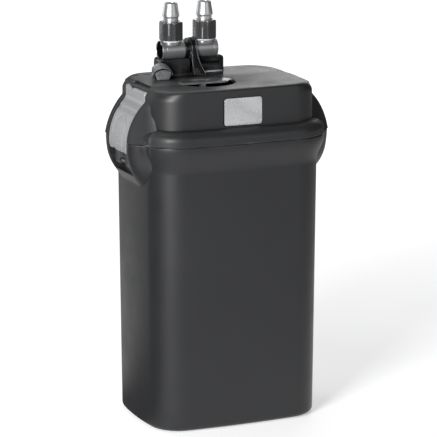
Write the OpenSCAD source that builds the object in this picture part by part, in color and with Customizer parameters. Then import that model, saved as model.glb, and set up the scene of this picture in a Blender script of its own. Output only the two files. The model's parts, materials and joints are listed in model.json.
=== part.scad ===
// Canister filter for an aquarium: a tall drafted canister, a clamped-on motor head with a magnetic
// drive pump and a hand primer, and a lift-out valve that carries the two hose tails.
// Millimetres, +Z up, +X towards the right-hand clamp, -Y towards the front with the badge plate.
// The origin is at the middle of the outline, on the surface that the filter stands on.

/* [Canister] */
// Length of the canister, from side to side, just below its collar
body_length = 214; // [204:1:260]
// Depth of the canister, from front to back, just below its collar
body_depth = 160; // [154:1:200]
// Radius of the four upright corners
corner_radius = 40; // [37:1:44]
// How far the middle of each side bulges out
side_bow = 2.2; // [1:0.1:4]
// Draft of the canister's walls, in degrees
draft = 0.5; // [0.2:0.1:0.8]
// Thickness of the canister's wall
wall = 3.2; // [2.6:0.1:3.6]
// Thickness of the canister's floor
floor_thickness = 5.8; // [5:0.2:8]
// Radius of the canister's bottom edge
base_round = 6; // [3:0.5:9]
// Height of the canister's rim, where the motor head starts
rim_z = 333.5; // [333:0.5:400]
// How far the collar stands out past the walls
collar_out = 8.5; // [7.5:0.1:10]
// Height over which the wall flares out to the collar
flare_height = 29.5; // [24:0.5:34]
// Radius of a rubber foot
foot_radius = 9; // [6:0.5:14]
// How far the feet lift the canister
foot_stand = 1.2; // [0.8:0.1:2.5]

/* [Motor head] */
// Height of the motor head, from the canister's rim to the deck
head_height = 61.2; // [60:0.1:75]
// How far the head's upper walls stand in from the canister's walls
head_inset = 5.2; // [4:0.1:6]
// Height of the head's upright skirt, above the rim
skirt_height = 6.5; // [5:0.5:9]
// Height of the rounded bead above the skirt
bead_height = 11.5; // [9:0.5:13]
// Radius of the deck's edge
deck_round = 3.6; // [2:0.1:5]
// Wall thickness of the head cover
cover_wall = 3; // [2.4:0.1:3.6]
// Gap between the head and the canister's rim
parting_gap = 0.4; // [0.3:0.1:0.8]
// Width of the badge plate
badge_width = 46; // [30:1:70]
// Height of the badge plate
badge_height = 31; // [20:0.5:33]
// Corner radius of the badge plate
badge_round = 3; // [1:0.5:6]

/* [Clamps] */
// Radius of the round ears on both short sides, seen from the front
ear_radius = 67.4; // [64:0.2:72]
// How far the ears stand out past the canister's walls
ear_out = 16.5; // [16:0.1:19]
// Width of each clamp
clamp_width = 56.8; // [44:0.2:60]
// Thickness of the clamp's shell
clamp_thickness = 4.5; // [3.5:0.1:5.5]
// Gap between a clamp and the ear's cheeks
clamp_gap = 0.4; // [0.3:0.1:0.8]
// Width of the finger recess behind a clamp's pad
recess_width = 34; // [24:1:40]
// Radius of a clamp's pivot pin
pin_radius = 2; // [1.6:0.1:2.4]

/* [Valve] */
// Distance between the two hose tails
port_spacing = 41.5; // [39:0.5:50]
// Sideways place of the left hose tail
left_port_x = -44; // [-46:0.5:-42]
// Distance of the valve's axis behind the middle of the filter
valve_y = 31; // [31:0.5:34]
// Height of the barrels' axis above the deck
barrel_rise = 31.1; // [30:0.1:34]
// Radius of the valve's barrels
barrel_radius = 11.3; // [10.8:0.1:11.6]
// Radius of the water passages
bore_radius = 5.5; // [4:0.1:5.8]
// Size of the lock nuts, across their corners
nut_size = 29; // [27:0.5:29.4]
// Height of the lock nuts
nut_height = 22.2; // [16:0.2:24]
// Largest radius of a hose tail, on its barb
barb_radius = 9; // [8.2:0.1:9.4]
// Radius of a hose tail at its tip
tip_radius = 7.1; // [6:0.1:8]
// Running clearance of turning and sliding pieces
running_gap = 0.08; // [0.03:0.01:0.1]

/* [Pump and primer] */
// Radius of the primer's handle disc
handle_radius = 31.3; // [28:0.1:31.6]
// Stroke of the primer
primer_stroke = 30; // [15:1:32]
// Radius of the primer's cylinder bore
primer_bore = 15; // [12:0.5:17]
// Radius of the impeller's blades
impeller_radius = 19; // [14:0.5:20]
// Number of impeller blades
blade_count = 6; // [3:1:9]
// Radius of the rotor magnet
magnet_radius = 10.4; // [8:0.2:10.6]

/* [Media] */
// Number of stacked media baskets
basket_count = 3; // [2:1:4]
// Wall thickness of a media basket
basket_wall = 2; // [1.6:0.1:3]
// Outer radius of a ceramic ring
media_ring_radius = 7; // [5:0.5:8]

/* [Hidden] */
$fn = 96;

// Gap between neighbours that only rest on each other
seat = 0.3;
fine = 720;

// Outline: four corner arcs joined by four large side arcs, all tangent
half_l = body_length / 2;
half_d = body_depth / 2;
corner_x = half_l - corner_radius - side_bow;
corner_y = half_d - corner_radius - side_bow;
front_arc = corner_radius + (corner_x * corner_x + side_bow * side_bow) / (2 * side_bow);
side_arc = corner_radius + (corner_y * corner_y + side_bow * side_bow) / (2 * side_bow);
front_turn = atan2(corner_x, front_arc - corner_radius - side_bow);
side_turn = atan2(corner_y, side_arc - corner_radius - side_bow);
join_x = round(10 * (corner_x + corner_radius * sin(front_turn))) / 10;
join_y = round(10 * (corner_y + corner_radius * sin(side_turn))) / 10;

// Heights
floor_top = foot_stand + floor_thickness;
flare_z = rim_z - 2.5 - flare_height;
head_bottom = rim_z + parting_gap;
skirt_top = rim_z + skirt_height;
crease_z = skirt_top + bead_height;
deck_z = rim_z + head_height;
deck_under = deck_z - cover_wall;

function arc_points(c, r, a0, a1, n) =
  [for (i = [0:n - 1]) c + r * [cos(a0 + (a1 - a0) * i / n), sin(a0 + (a1 - a0) * i / n)]];
function outline(d) = concat(
  arc_points([corner_x, corner_y], corner_radius + d, side_turn, 90 - front_turn, 10),
  arc_points([0, half_d - front_arc], front_arc + d, 90 - front_turn, 90 + front_turn, 6),
  arc_points([-corner_x, corner_y], corner_radius + d, 90 + front_turn, 180 - side_turn, 10),
  arc_points([side_arc - half_l, 0], side_arc + d, 180 - side_turn, 180 + side_turn, 6),
  arc_points([-corner_x, -corner_y], corner_radius + d, 180 + side_turn, 270 - front_turn, 10),
  arc_points([0, front_arc - half_d], front_arc + d, 270 - front_turn, 270 + front_turn, 6),
  arc_points([corner_x, -corner_y], corner_radius + d, 270 + front_turn, 360 - side_turn, 10),
  arc_points([half_l - side_arc, 0], side_arc + d, -side_turn, side_turn, 6));
function ease(t) = t * t * (3 - 2 * t);
// Outward offset of the canister's outer face at height z
function wall_out(z) = z < flare_z ? (z - flare_z) * tan(draft)
  : collar_out * ease(min(1, (z - flare_z) / flare_height));
function flare_points(inward) = [for (i = [0:10]) let (z = flare_z + flare_height * i / 10)
  [wall_out(z) - inward, z]];

// Sweeps a wall section of [offset, height] points around the outline
module ring(section) {
  for (mx = [0, 1], my = [0, 1]) mirror([mx, 0, 0]) mirror([0, my, 0])
    translate([corner_x, corner_y, 0]) rotate(side_turn)
      rotate_extrude(angle = 90 - front_turn - side_turn)
        translate([corner_radius, 0]) polygon(section);
  for (my = [0, 1]) mirror([0, my, 0]) translate([0, half_d - front_arc, 0])
    rotate(90 - front_turn) rotate_extrude(angle = 2 * front_turn, $fn = fine)
      translate([front_arc, 0]) polygon(section);
  for (mx = [0, 1]) mirror([mx, 0, 0]) translate([half_l - side_arc, 0, 0])
    rotate(-side_turn) rotate_extrude(angle = 2 * side_turn, $fn = fine)
      translate([side_arc, 0]) polygon(section);
}
// Fills the outline, offset by d, between two heights
module slab(d, low, high) {
  translate([0, 0, low]) linear_extrude(high - low) polygon(outline(d));
}
// A disc of radius r whose rim follows an edge of [offset, height] points, from bottom to top
module disc(x, y, r, edge) {
  translate([x, y, 0]) rotate_extrude($fn = r > 2 * corner_radius ? fine : 120)
    polygon(concat([[0, edge[0][1]]], [for (p = edge) [r + p[0], p[1]]], [[0, edge[len(edge) - 1][1]]]));
}
// A solid body with the given edge: two crossed bars with bowed ends, and a quarter disc at each
// corner that stands back a hair, so that every surface stops at a flat plane
module body(edge) {
  low = edge[0][1] - 1;
  high = edge[len(edge) - 1][1] + 1;
  intersection() {
    block([-join_x, -body_depth, low], [join_x, body_depth, high]);
    disc(0, half_d - front_arc, front_arc, edge);
    disc(0, front_arc - half_d, front_arc, edge);
  }
  intersection() {
    block([-body_length, -join_y, low], [body_length, join_y, high]);
    disc(half_l - side_arc, 0, side_arc, edge);
    disc(side_arc - half_l, 0, side_arc, edge);
  }
  for (mx = [0, 1], my = [0, 1]) mirror([mx, 0, 0]) mirror([0, my, 0]) intersection() {
    block([join_x, join_y, low], [body_length, body_depth, high]);
    disc(corner_x, corner_y, corner_radius - 0.05, edge);
  }
}
module both_sides() {
  for (m = [0, 1]) mirror([m, 0, 0]) children();
}
module tube(r_out, r_in, low, high) {
  translate([0, 0, low]) difference() {
    cylinder(r = r_out, h = high - low);
    translate([0, 0, -1]) cylinder(r = r_in, h = high - low + 2);
  }
}
module bar_x(r, x0, x1) {
  translate([x0, 0, 0]) rotate([0, 90, 0]) cylinder(r = r, h = x1 - x0);
}
module block(low, high) {
  translate(low) cube(high - low);
}
// A flat plate with round corners, standing in the XZ plane
module upright_plate(w, h, r, t) {
  rotate([90, 0, 0]) linear_extrude(t) {
    square([w - 2 * r, h], center = true);
    square([w, h - 2 * r], center = true);
    for (x = [-1, 1], z = [-1, 1]) translate([x * (w / 2 - r), z * (h / 2 - r)]) circle(r = r);
  }
}

// Ears: a drum lying along Y, cut by four slanting flanks
ear_reach = half_l + ear_out;
ear_x = ear_reach - ear_radius;
ear_z = rim_z - 5.5;
cheek = clamp_width / 2 + clamp_gap;
flank = cheek + 3.7;
pin_x = half_l + 6.5;
pin_z = rim_z - 26.5;
pin_half = flank - 0.6;
chin_z = pin_z - 12.5;
// A point on the front flank: its distances in from the ear's tip, out from the cheek, and above the rim
function on_ear(x, y, z) = [-ear_reach + x, -flank - y, rim_z + z];
// A point on the body's own side wall, next to the flank
function on_wall(x, y, z) = [-half_l + x, -flank - y, rim_z + z];
ear_edge = on_ear(2.5, 0, 0);
ear_root = on_ear(14, 24.5, 0);
// Keeps the body's side of the plane through three points
module keep_side(p) {
  reach = 400;
  n = cross(p[1] - p[0], p[2] - p[0]);
  normal = n[0] > 0 ? n : -n;
  translate(p[0]) rotate([0, acos(normal[2] / norm(normal)), atan2(normal[1], normal[0])])
    translate([-reach, -reach, 0]) cube([2 * reach, 2 * reach, reach]);
}
module ear(low, high, near_rim, near_tip) {
  difference() {
    intersection() {
      translate([-ear_x, 0, ear_z]) rotate([90, 0, 0])
        cylinder(r = ear_radius, h = body_depth, center = true, $fn = 180);
      block([-ear_reach - 1, -corner_y - 14, low], [-half_l + 14, corner_y + 14, high]);
      union() {
        keep_side(near_rim);
        keep_side(near_tip);
      }
      mirror([0, 1, 0]) union() {
        keep_side(near_rim);
        keep_side(near_tip);
      }
    }
    block([-ear_reach - 2, -cheek, chin_z], [-half_l / 2, cheek, deck_z]);
  }
}
module lower_ear() {
  ear(chin_z - 30, rim_z, [ear_edge, ear_root, on_wall(2.4, 14.5, -25.5)],
    [ear_edge, on_wall(1, 6, -46.5), on_ear(6.2, 0, -33.5)]);
}
module upper_ear() {
  shoulder = on_wall(8, 11.5, 23.5);
  ear(head_bottom, deck_z - deck_round, [ear_edge, ear_root, shoulder],
    [ear_edge, shoulder, on_ear(10.3, 0, 27.5)]);
}

module canister_shell() {
  color([0.13, 0.135, 0.14]) difference() {
    union() {
      body(concat(
        [for (a = [0:15:90]) [wall_out(0) - base_round + base_round * sin(a),
          foot_stand + base_round - base_round * cos(a)]],
        flare_points(0), [[collar_out, rim_z]]));
      both_sides() lower_ear();
    }
    body(concat(
      [[wall_out(0) - wall - 2, floor_top], [wall_out(0) - wall, floor_top + 2]],
      flare_points(wall), [[collar_out - wall, rim_z + 1]]));
    both_sides() translate([-pin_x, 0, pin_z]) rotate([90, 0, 0])
      cylinder(r = pin_radius + 0.02, h = 2 * pin_half + 0.4, center = true);
    for (x = [-1, 1], y = [-1, 1]) translate([x * (corner_x + 8), y * (corner_y + 8), -1])
      cylinder(r = foot_radius + 0.1, h = foot_stand + 3.1);
  }
}
module rubber_feet() {
  color([0.06, 0.06, 0.06])
    for (x = [-1, 1], y = [-1, 1]) translate([x * (corner_x + 8), y * (corner_y + 8), 0])
      cylinder(r = foot_radius, h = foot_stand + 2);
}
module clamp_pins() {
  color([0.7, 0.7, 0.72]) both_sides() translate([-pin_x, 0, pin_z]) rotate([90, 0, 0])
    cylinder(r = pin_radius, h = 2 * pin_half, center = true);
}

// Clamp: a shell that follows the ear's round, a pad on the head's wall and two arms to the pin
clamp_out = ear_radius - 1.4;
clamp_in = clamp_out - clamp_thickness;
pad_x = half_l - head_inset - 5;
pad_top = deck_z - 4.2;
pocket_low = pad_top - 24;
clamp_foot = pin_z + 11;
knuckle = pin_radius + 2.6;
module clamp_section() {
  difference() {
    union() {
      intersection() {
        translate([-ear_x, ear_z]) difference() {
          circle(r = clamp_out, $fn = 180);
          circle(r = clamp_in, $fn = 180);
        }
        translate([-ear_reach - 1, clamp_foot]) square([ear_out + 30, pad_top - 16 - clamp_foot]);
      }
      translate([-pad_x - 4.4, pad_top - 21]) square([4.4, 19]);
      translate([-pad_x - 2.2, pad_top - 2.2]) circle(r = 2.2);
      translate([-pad_x - 2.4, pad_top - 4.4]) square([2.4, 2.4]);
    }
    translate([-pad_x, clamp_foot - 1]) square([40, deck_z]);
  }
}
module clamp() {
  hook_z = crease_z + 0.4;
  difference() {
    union() {
      rotate([90, 0, 0]) linear_extrude(clamp_width, center = true) clamp_section();
      block([-ear_reach + 8, -clamp_width / 2 + 5, hook_z], [-half_l + 1.2, clamp_width / 2 - 5, hook_z + 4]);
      for (s = [-1, 1]) translate([0, s * clamp_width * 0.3 + 5, 0]) rotate([90, 0, 0])
        linear_extrude(10) {
          translate([-pin_x, pin_z]) circle(r = knuckle);
          polygon([[-pin_x - knuckle, pin_z], [-pin_x + knuckle - 0.4, pin_z + 1.6],
            [-ear_reach + 7, clamp_foot + 5], [-ear_reach + 3, clamp_foot + 4]]);
        }
    }
    translate([-pin_x, 0, pin_z]) rotate([90, 0, 0])
      cylinder(r = pin_radius + running_gap, h = clamp_width + 2, center = true);
  }
}
module left_clamp() {
  color([0.62, 0.63, 0.64]) clamp();
}
module right_clamp() {
  color([0.62, 0.63, 0.64]) mirror([1, 0, 0]) clamp();
}

// Places inside the head, seen from above
handle_at = [-19, -16, 0];
motor_at = [52, -8, 0];
right_port_x = left_port_x + port_spacing;
port_xs = [left_port_x, right_port_x];
boss_spots = [[-86, -50], [86, -50], [-86, 50], [86, 50], [25, -60], [25, 62]];
module at_bosses() {
  for (p = boss_spots) translate([sign(p[0]) * (half_l - 107 + abs(p[0])),
    sign(p[1]) * (half_d - 80 + abs(p[1])), 0]) children();
}
module at_ports() {
  for (x = port_xs) translate([x, valve_y, 0]) children();
}
well_radius = handle_radius + 0.7;
cup_floor = deck_z - 10.3;
cup_low = cup_floor - 2.5;
stem_radius = bore_radius + 2.7;
stem_low = deck_z - 16.6;
socket_low = deck_z - 22;
gland_z = deck_z - 28;
badge_z = crease_z + badge_height / 2 + 2;
badge_sink = 1.2;
screw_radius = 1.6;
scoop_radius = 8;
latch_x = left_port_x - 19;

module head_cover() {
  side = half_l - head_inset;
  color([0.16, 0.165, 0.17]) difference() {
    union() {
      difference() {
        union() {
          body(concat([[collar_out, head_bottom]],
            [for (a = [0:11.25:90]) [-head_inset + (collar_out + head_inset) * cos(a),
              skirt_top + bead_height * sin(a)]],
            [for (a = [0:22.5:90]) [-head_inset - 0.6 - deck_round + deck_round * cos(a),
              deck_z - deck_round + deck_round * sin(a)]]));
          both_sides() upper_ear();
        }
        body(concat([[collar_out - cover_wall, head_bottom - 1]],
          [for (a = [0:22.5:90]) [-head_inset - cover_wall + (collar_out + head_inset) * cos(a),
            skirt_top + (bead_height - cover_wall) * sin(a)]],
          [[-head_inset - 0.6 - cover_wall, deck_under]]));
      }
      both_sides() block([-side + 2, -cheek - 4, pocket_low - 3], [-pad_x + 4, cheek + 4, deck_z - 1]);
      both_sides() intersection() {
        translate([-pad_x, 0, pad_top + 1]) rotate([90, 0, 0])
          cylinder(r = scoop_radius + cover_wall, h = recess_width + 2 * cover_wall, center = true);
        block([-side + 1, -half_d, pad_top - 20], [0, half_d, deck_z - 1]);
      }
      translate(handle_at) tube(well_radius + 2.5, well_radius, cup_low, deck_z - 1);
      translate(handle_at) translate([0, 0, cup_low]) cylinder(r = well_radius + 1, h = cup_floor - cup_low);
      at_ports() translate([0, 0, socket_low]) cylinder(r = stem_radius + 3.3, h = deck_z - 1 - socket_low);
      at_bosses() translate([0, 0, base_floor + seat]) cylinder(r = 5, h = deck_under + 1 - base_floor - seat);
    }
    both_sides() translate([-pad_x, 0, pad_top + 1]) rotate([90, 0, 0])
      cylinder(r = scoop_radius, h = recess_width, center = true);
    both_sides() block([-side - 2, -cheek, pocket_low], [-pad_x + 0.6, cheek, pad_top + 1.6]);
    translate(handle_at) translate([0, 0, cup_floor]) cylinder(r = well_radius, h = 20);
    translate(handle_at) translate([0, 0, cup_low - 1]) cylinder(r = rod_radius + running_gap, h = 10);
    at_ports() translate([0, 0, socket_low + 3]) cylinder(r = stem_radius + seat, h = 40);
    at_ports() translate([0, 0, socket_low - 1]) cylinder(r = bore_radius, h = 10);
    at_bosses() translate([0, 0, base_floor - 1]) cylinder(r = screw_radius + 0.05, h = 18);
    translate([motor_at[0], half_d, gland_z]) rotate([90, 0, 0]) cylinder(r = 5.1, h = 20);
    translate([0, -half_d + head_inset + badge_sink + 0.05, badge_z])
      upright_plate(badge_width + 0.6, badge_height + 0.6, badge_round + 0.3, 10);
    translate([latch_x - 4, latch_y - 3.5, deck_under - 1]) cube([8, 7.5, 10]);
    for (x = [-80, -65]) translate([x, 53, deck_z - 1.5]) {
      translate([-3, -1.2, 0]) cube([6, 2.4, 4]);
      for (end = [-3, 3]) translate([end, 0, 0]) cylinder(r = 1.2, h = 4);
    }
  }
}
module badge_plate() {
  color([0.82, 0.83, 0.84]) translate([0, -half_d + head_inset + badge_sink, badge_z])
    upright_plate(badge_width, badge_height, badge_round, badge_sink + 0.5);
}

// Head base: a tray that plugs the canister's mouth and carries the pump, pipes and primer
plug_out = -wall - 1.2;
base_low = rim_z - 43.5;
base_floor = base_low + 4;
groove_low = base_low + 6.5;
groove_high = groove_low + 4;
groove_out = plug_out - 2.8;
chamber_low = base_low - 13;
well_out = magnet_radius + 3.2;
well_in = magnet_radius + 1;
well_top = rim_z + 18.5;
rod_radius = 3;
duct_angle = atan2(valve_y - motor_at[1], right_port_x - motor_at[0]);
duct_length = norm([right_port_x - motor_at[0], valve_y - motor_at[1]]);
module head_base() {
  color([0.3, 0.31, 0.33]) difference() {
    union() {
      difference() {
        body(concat([[plug_out - 1, base_low], [plug_out, base_low + 1], [plug_out, groove_low],
          [groove_out, groove_low], [groove_out, groove_high], [plug_out, groove_high],
          [plug_out, flare_z + 2]],
          [for (i = [4:2:10]) let (z = flare_z + flare_height * i / 10) [wall_out(z) - wall - 0.8, z]],
          [[collar_out - wall - 0.8, head_bottom + 3]]));
        body([[plug_out - 5, base_floor], [plug_out - 5, head_bottom + 4]]);
      }
      translate(motor_at) translate([0, 0, chamber_low]) cylinder(r = impeller_radius + 5.5, h = 14);
      translate(motor_at) translate([0, 0, base_low]) cylinder(r = well_out, h = well_top + 2 - base_low);
      translate(motor_at) rotate(duct_angle) translate([0, -7.5, chamber_low]) cube([duct_length, 15, 14]);
      at_ports() translate([0, 0, chamber_low]) cylinder(r = 8.5, h = socket_low - seat - chamber_low);
    }
    translate(motor_at) translate([0, 0, chamber_low - 1]) cylinder(r = impeller_radius + 2.5, h = 14);
    translate(motor_at) translate([0, 0, chamber_low]) cylinder(r = well_in, h = well_top - chamber_low);
    translate(motor_at) translate([0, 0, well_top - 3]) cylinder(r = 3.3, h = 4);
    translate(motor_at) rotate(duct_angle) translate([0, -5, chamber_low + 2.6]) cube([duct_length - 1, 10, 8.2]);
    translate([left_port_x, valve_y, chamber_low - 1]) cylinder(r = bore_radius, h = socket_low);
    translate([right_port_x, valve_y, chamber_low + 2]) cylinder(r = bore_radius, h = socket_low);
    translate(handle_at) translate([0, 0, base_low - 1]) cylinder(r = 4, h = 6);
    at_bosses() translate([0, 0, base_low - 1]) cylinder(r = screw_radius + 0.05, h = 6);
  }
}
module head_screws() {
  color([0.75, 0.75, 0.77]) at_bosses() {
    translate([0, 0, base_low - 2.3]) cylinder(r = 3, h = 2);
    translate([0, 0, base_low - 0.4]) cylinder(r = screw_radius, h = 17);
  }
}
module lid_seal() {
  r = 1.75;
  color([0.08, 0.08, 0.08]) ring([for (a = [0:30:330])
    [groove_out + r + 0.15 + r * cos(a), (groove_low + groove_high) / 2 + r * sin(a)]]);
}

// Pump motor
core_low = base_floor + 8;
core_high = well_top - 14;
leg = 11;
gap = 22;
module stator_core() {
  color([0.45, 0.45, 0.47]) translate(motor_at) difference() {
    union() {
      for (s = [-1, 1]) block([s * (gap / 2 + leg / 2) - leg / 2, -16, core_low],
        [s * (gap / 2 + leg / 2) + leg / 2, 36, core_high]);
      block([-gap / 2 - leg, 36, core_low], [gap / 2 + leg, 46, core_high]);
    }
    translate([0, 0, core_low - 1]) cylinder(r = well_out + seat, h = core_high);
  }
}
module stator_coils() {
  wind = 4.8;
  color([0.72, 0.42, 0.2]) translate(motor_at) for (s = [-1, 1])
    translate([s * (gap / 2 + leg / 2), 0, 0]) difference() {
      block([-leg / 2 - wind, 16.5, core_low - wind], [leg / 2 + wind, 35.7, core_high + wind]);
      block([-leg / 2 - seat, 15, core_low - seat], [leg / 2 + seat, 40, core_high + seat]);
    }
}
module motor_case() {
  color([0.2, 0.2, 0.22]) translate(motor_at) difference() {
    block([-30, -21, base_floor + seat], [30, 50, well_top - 4]);
    block([-28, -19, base_floor - 1], [28, 48, well_top - 6]);
    translate([0, 0, base_floor]) cylinder(r = well_out + seat, h = well_top);
  }
}
module rotor_shaft() {
  color([0.93, 0.92, 0.88]) translate(motor_at) translate([0, 0, chamber_low - 1.5])
    cylinder(r = 1.5, h = well_top - 0.5 - chamber_low + 1.5);
}
module shaft_bushings() {
  color([0.1, 0.1, 0.1]) translate(motor_at) {
    tube(3.2, 1.55, chamber_low - 2.8, chamber_low + 1.5);
    tube(3.2, 1.55, well_top - 4.5, well_top - 0.5);
  }
}
module impeller_cover() {
  color([0.2, 0.2, 0.22]) translate(motor_at) difference() {
    union() {
      translate([0, 0, chamber_low - 3.3]) cylinder(r = impeller_radius + 5.5, h = 3);
      translate([0, 0, chamber_low - 3.3]) cylinder(r = 5, h = 4);
    }
    translate([0, 0, chamber_low - 2.8]) cylinder(r = 3.25, h = 8);
    for (a = [0:60:300]) rotate(a) translate([10, 0, chamber_low - 4]) cylinder(r = 3.6, h = 8);
  }
}
module rotor_magnet() {
  color([0.15, 0.15, 0.16]) translate(motor_at)
    tube(magnet_radius, 1.5 + running_gap, base_floor + 1, core_high + 3);
}
module impeller_blades() {
  low = chamber_low + 3;
  color([0.85, 0.85, 0.82]) translate(motor_at) difference() {
    union() {
      translate([0, 0, low]) cylinder(r = 6, h = base_floor + 0.7 - low);
      for (i = [0:blade_count - 1]) rotate(i * 360 / blade_count) translate([0, -1, low])
        cube([impeller_radius, 2, 8]);
    }
    translate([0, 0, low - 1]) cylinder(r = 1.5 + running_gap, h = 40);
  }
}
module cord_gland() {
  back = half_d - head_inset;
  color([0.09, 0.09, 0.09]) translate([motor_at[0], 0, gland_z]) rotate([-90, 0, 0]) difference() {
    union() {
      translate([0, 0, back - 8]) cylinder(r = 5, h = 12);
      translate([0, 0, back + seat]) cylinder(r = 7.5, h = 2.5);
      translate([0, 0, back + 2]) cylinder(r = 6, h = 8);
    }
    translate([0, 0, back - 4]) cylinder(r = 3.2, h = 20);
  }
}

// Primer: a handle disc in the deck, its rod, and a piston in the cylinder below
piston_low = base_floor + 6;
piston_height = 12;
module primer_cylinder() {
  color([0.8, 0.8, 0.78]) translate(handle_at)
    tube(primer_bore + 2, primer_bore, base_floor + seat, cup_low - seat);
}
module primer_handle() {
  depth = 7;
  color([0.14, 0.145, 0.15]) translate(handle_at) difference() {
    translate([0, 0, cup_floor + seat]) cylinder(r = handle_radius, h = deck_z + 0.5 - cup_floor - seat);
    difference() {
      translate([0, 0, deck_z + 0.5 - depth]) cylinder(r = handle_radius - 3.5, h = depth + 1);
      block([-handle_radius, -4, cup_floor], [handle_radius, 12, deck_z + 3]);
    }
  }
}
module primer_rod() {
  color([0.7, 0.7, 0.72]) translate(handle_at) translate([0, 0, piston_low + piston_height])
    cylinder(r = rod_radius, h = cup_floor + seat - piston_low - piston_height);
}
module primer_piston() {
  mid = piston_low + piston_height / 2;
  color([0.88, 0.88, 0.85]) translate(handle_at) difference() {
    translate([0, 0, piston_low]) cylinder(r = primer_bore - running_gap, h = piston_height);
    tube(primer_bore + 1, primer_bore - 2.5, mid - 1.6, mid + 1.6);
  }
}
module piston_seal() {
  mid = piston_low + piston_height / 2;
  color([0.08, 0.08, 0.08]) translate(handle_at)
    tube(primer_bore - running_gap, primer_bore - 2.4, mid - 1.5, mid + 1.5);
}

// Valve: a housing that plugs into the deck, two barrels with turning plugs, nuts and hose tails
valve_z = deck_z + barrel_rise;
housing_low = deck_z + 0.4;
housing_left = left_port_x - 25;
housing_right = right_port_x + 20;
housing_back = valve_y + 16;
housing_front = valve_y - 14;
sill_front = valve_y - 10.8;
block_top = valve_z - barrel_radius - seat;
plate_top = housing_low + 5;
barrel_bore = barrel_radius - 3.2;
lever_left = left_port_x + 20.5;
lever_right = lever_left + 5.9;
left_end = left_port_x - 17.5;
right_end = right_port_x + 15;
collar_top = valve_z + 8;
nut_low = collar_top + 1.7;
nut_top = nut_low + nut_height;
latch_y = valve_y - 23.5;
latch_width = 22;
pin_at = [latch_x, valve_y - 16.2, housing_low + 7];
module valve_housing() {
  color([0.1, 0.1, 0.105]) difference() {
    union() {
      block([housing_left, housing_front, housing_low], [lever_left - 1, housing_back, plate_top]);
      block([lever_left - 5, sill_front, housing_low], [housing_right, housing_back, plate_top]);
      block([left_port_x - 20, housing_front, housing_low], [left_port_x + 15, housing_back, block_top]);
      block([housing_left, housing_front, housing_low], [housing_left + 4.5, housing_back - 4, valve_z - 9.5]);
      block([housing_right - 4.6, sill_front, housing_low], [housing_right, housing_back - 4, valve_z - 8.5]);
      block([left_port_x, housing_back - 6, housing_low], [housing_right - 1, housing_back, block_top - 2]);
      block([left_port_x + 9, housing_front - 2, housing_low], [left_port_x + 15, housing_front + 1, plate_top + 6]);
      at_ports() translate([0, 0, stem_low]) cylinder(r = stem_radius, h = plate_top - stem_low);
      for (s = [-1, 1]) translate([latch_x + s * 6.5 - 1.9, pin_at[1] - 3, housing_low + 2])
        cube([3.8, housing_front + 1 - pin_at[1] + 3, 8]);
    }
    at_ports() translate([0, 0, stem_low - 1]) cylinder(r = bore_radius, h = 40);
    at_ports() tube(stem_radius + 1, stem_radius - 1.5, stem_low + 5, stem_low + 8);
    translate([left_port_x, valve_y, plate_top]) cylinder(r = barrel_radius - 2.2, h = 40);
    translate(pin_at) bar_x(pin_radius - 0.75, -12, 12);
    translate(pin_at) bar_x(pin_radius + 1.2, -4.5, 4.5);
  }
}
module barrel(port_x, x0, x1, bore0, bore1) {
  difference() {
    union() {
      translate([0, valve_y, valve_z]) bar_x(barrel_radius, x0, x1);
      translate([port_x, valve_y, valve_z]) cylinder(r = 12, h = collar_top - valve_z);
      translate([port_x, valve_y, valve_z]) cylinder(r = 9.6, h = collar_top + 10 - valve_z);
      translate([port_x, valve_y, plate_top + seat])
        cylinder(r = barrel_radius - 2.5, h = valve_z - plate_top - seat);
    }
    translate([0, valve_y, valve_z]) bar_x(barrel_bore, bore0, bore1);
    translate([port_x, valve_y, plate_top]) cylinder(r = bore_radius, h = 60);
    translate([port_x, valve_y, 0]) tube(nut_size / 2 + 1, 9.6, collar_top, valve_z + barrel_radius + 1);
  }
}
module left_barrel() {
  color([0.36, 0.37, 0.38])
    barrel(left_port_x, left_end, lever_left - 0.5, left_end - 1, lever_left + 1);
}
module right_barrel() {
  color([0.36, 0.37, 0.38])
    barrel(right_port_x, lever_right + 1.1, right_end, lever_right, right_end - 2.2);
}
module valve_rotors() {
  r = barrel_bore - running_gap;
  mid = (lever_left + lever_right) / 2;
  color([0.2, 0.2, 0.21]) difference() {
    translate([0, valve_y, valve_z]) {
      bar_x(r, left_end + 2.5, lever_left - 0.8);
      bar_x(4.5, lever_left - 1, mid - seat / 2);
      bar_x(4.5, mid + seat / 2, lever_right + 1.5);
      bar_x(r, lever_right + 1.4, right_end - 2.5);
    }
    at_ports() translate([0, 0, deck_z]) cylinder(r = bore_radius, h = 60);
  }
}
module port_seals() {
  color([0.08, 0.08, 0.08]) at_ports()
    tube(stem_radius + seat - running_gap, stem_radius - 1.4, stem_low + 5.1, stem_low + 7.9);
}
module nozzle_washers() {
  color([0.85, 0.85, 0.83]) at_ports() tube(12.8, 9.9, collar_top + 0.1, nut_low - seat);
}
module hose_tail() {
  shelf = collar_top + 10 + seat;
  lip = nut_low + 13;
  land = nut_top + 7;
  tip = nut_top + 22.3;
  rotate_extrude() polygon([[bore_radius - 0.5, shelf], [9.4, shelf], [9.4, lip - seat],
    [barb_radius - 1.3, lip - seat], [barb_radius - 1.3, nut_top + 6], [barb_radius, land],
    [barb_radius, land + 3], [tip_radius, tip - 1], [tip_radius - 0.8, tip], [bore_radius - 0.5, tip]]);
}
module left_hose_tail() {
  color([0.68, 0.69, 0.7]) translate([left_port_x, valve_y, 0]) hose_tail();
}
module right_hose_tail() {
  color([0.68, 0.69, 0.7]) translate([right_port_x, valve_y, 0]) hose_tail();
}
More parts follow.
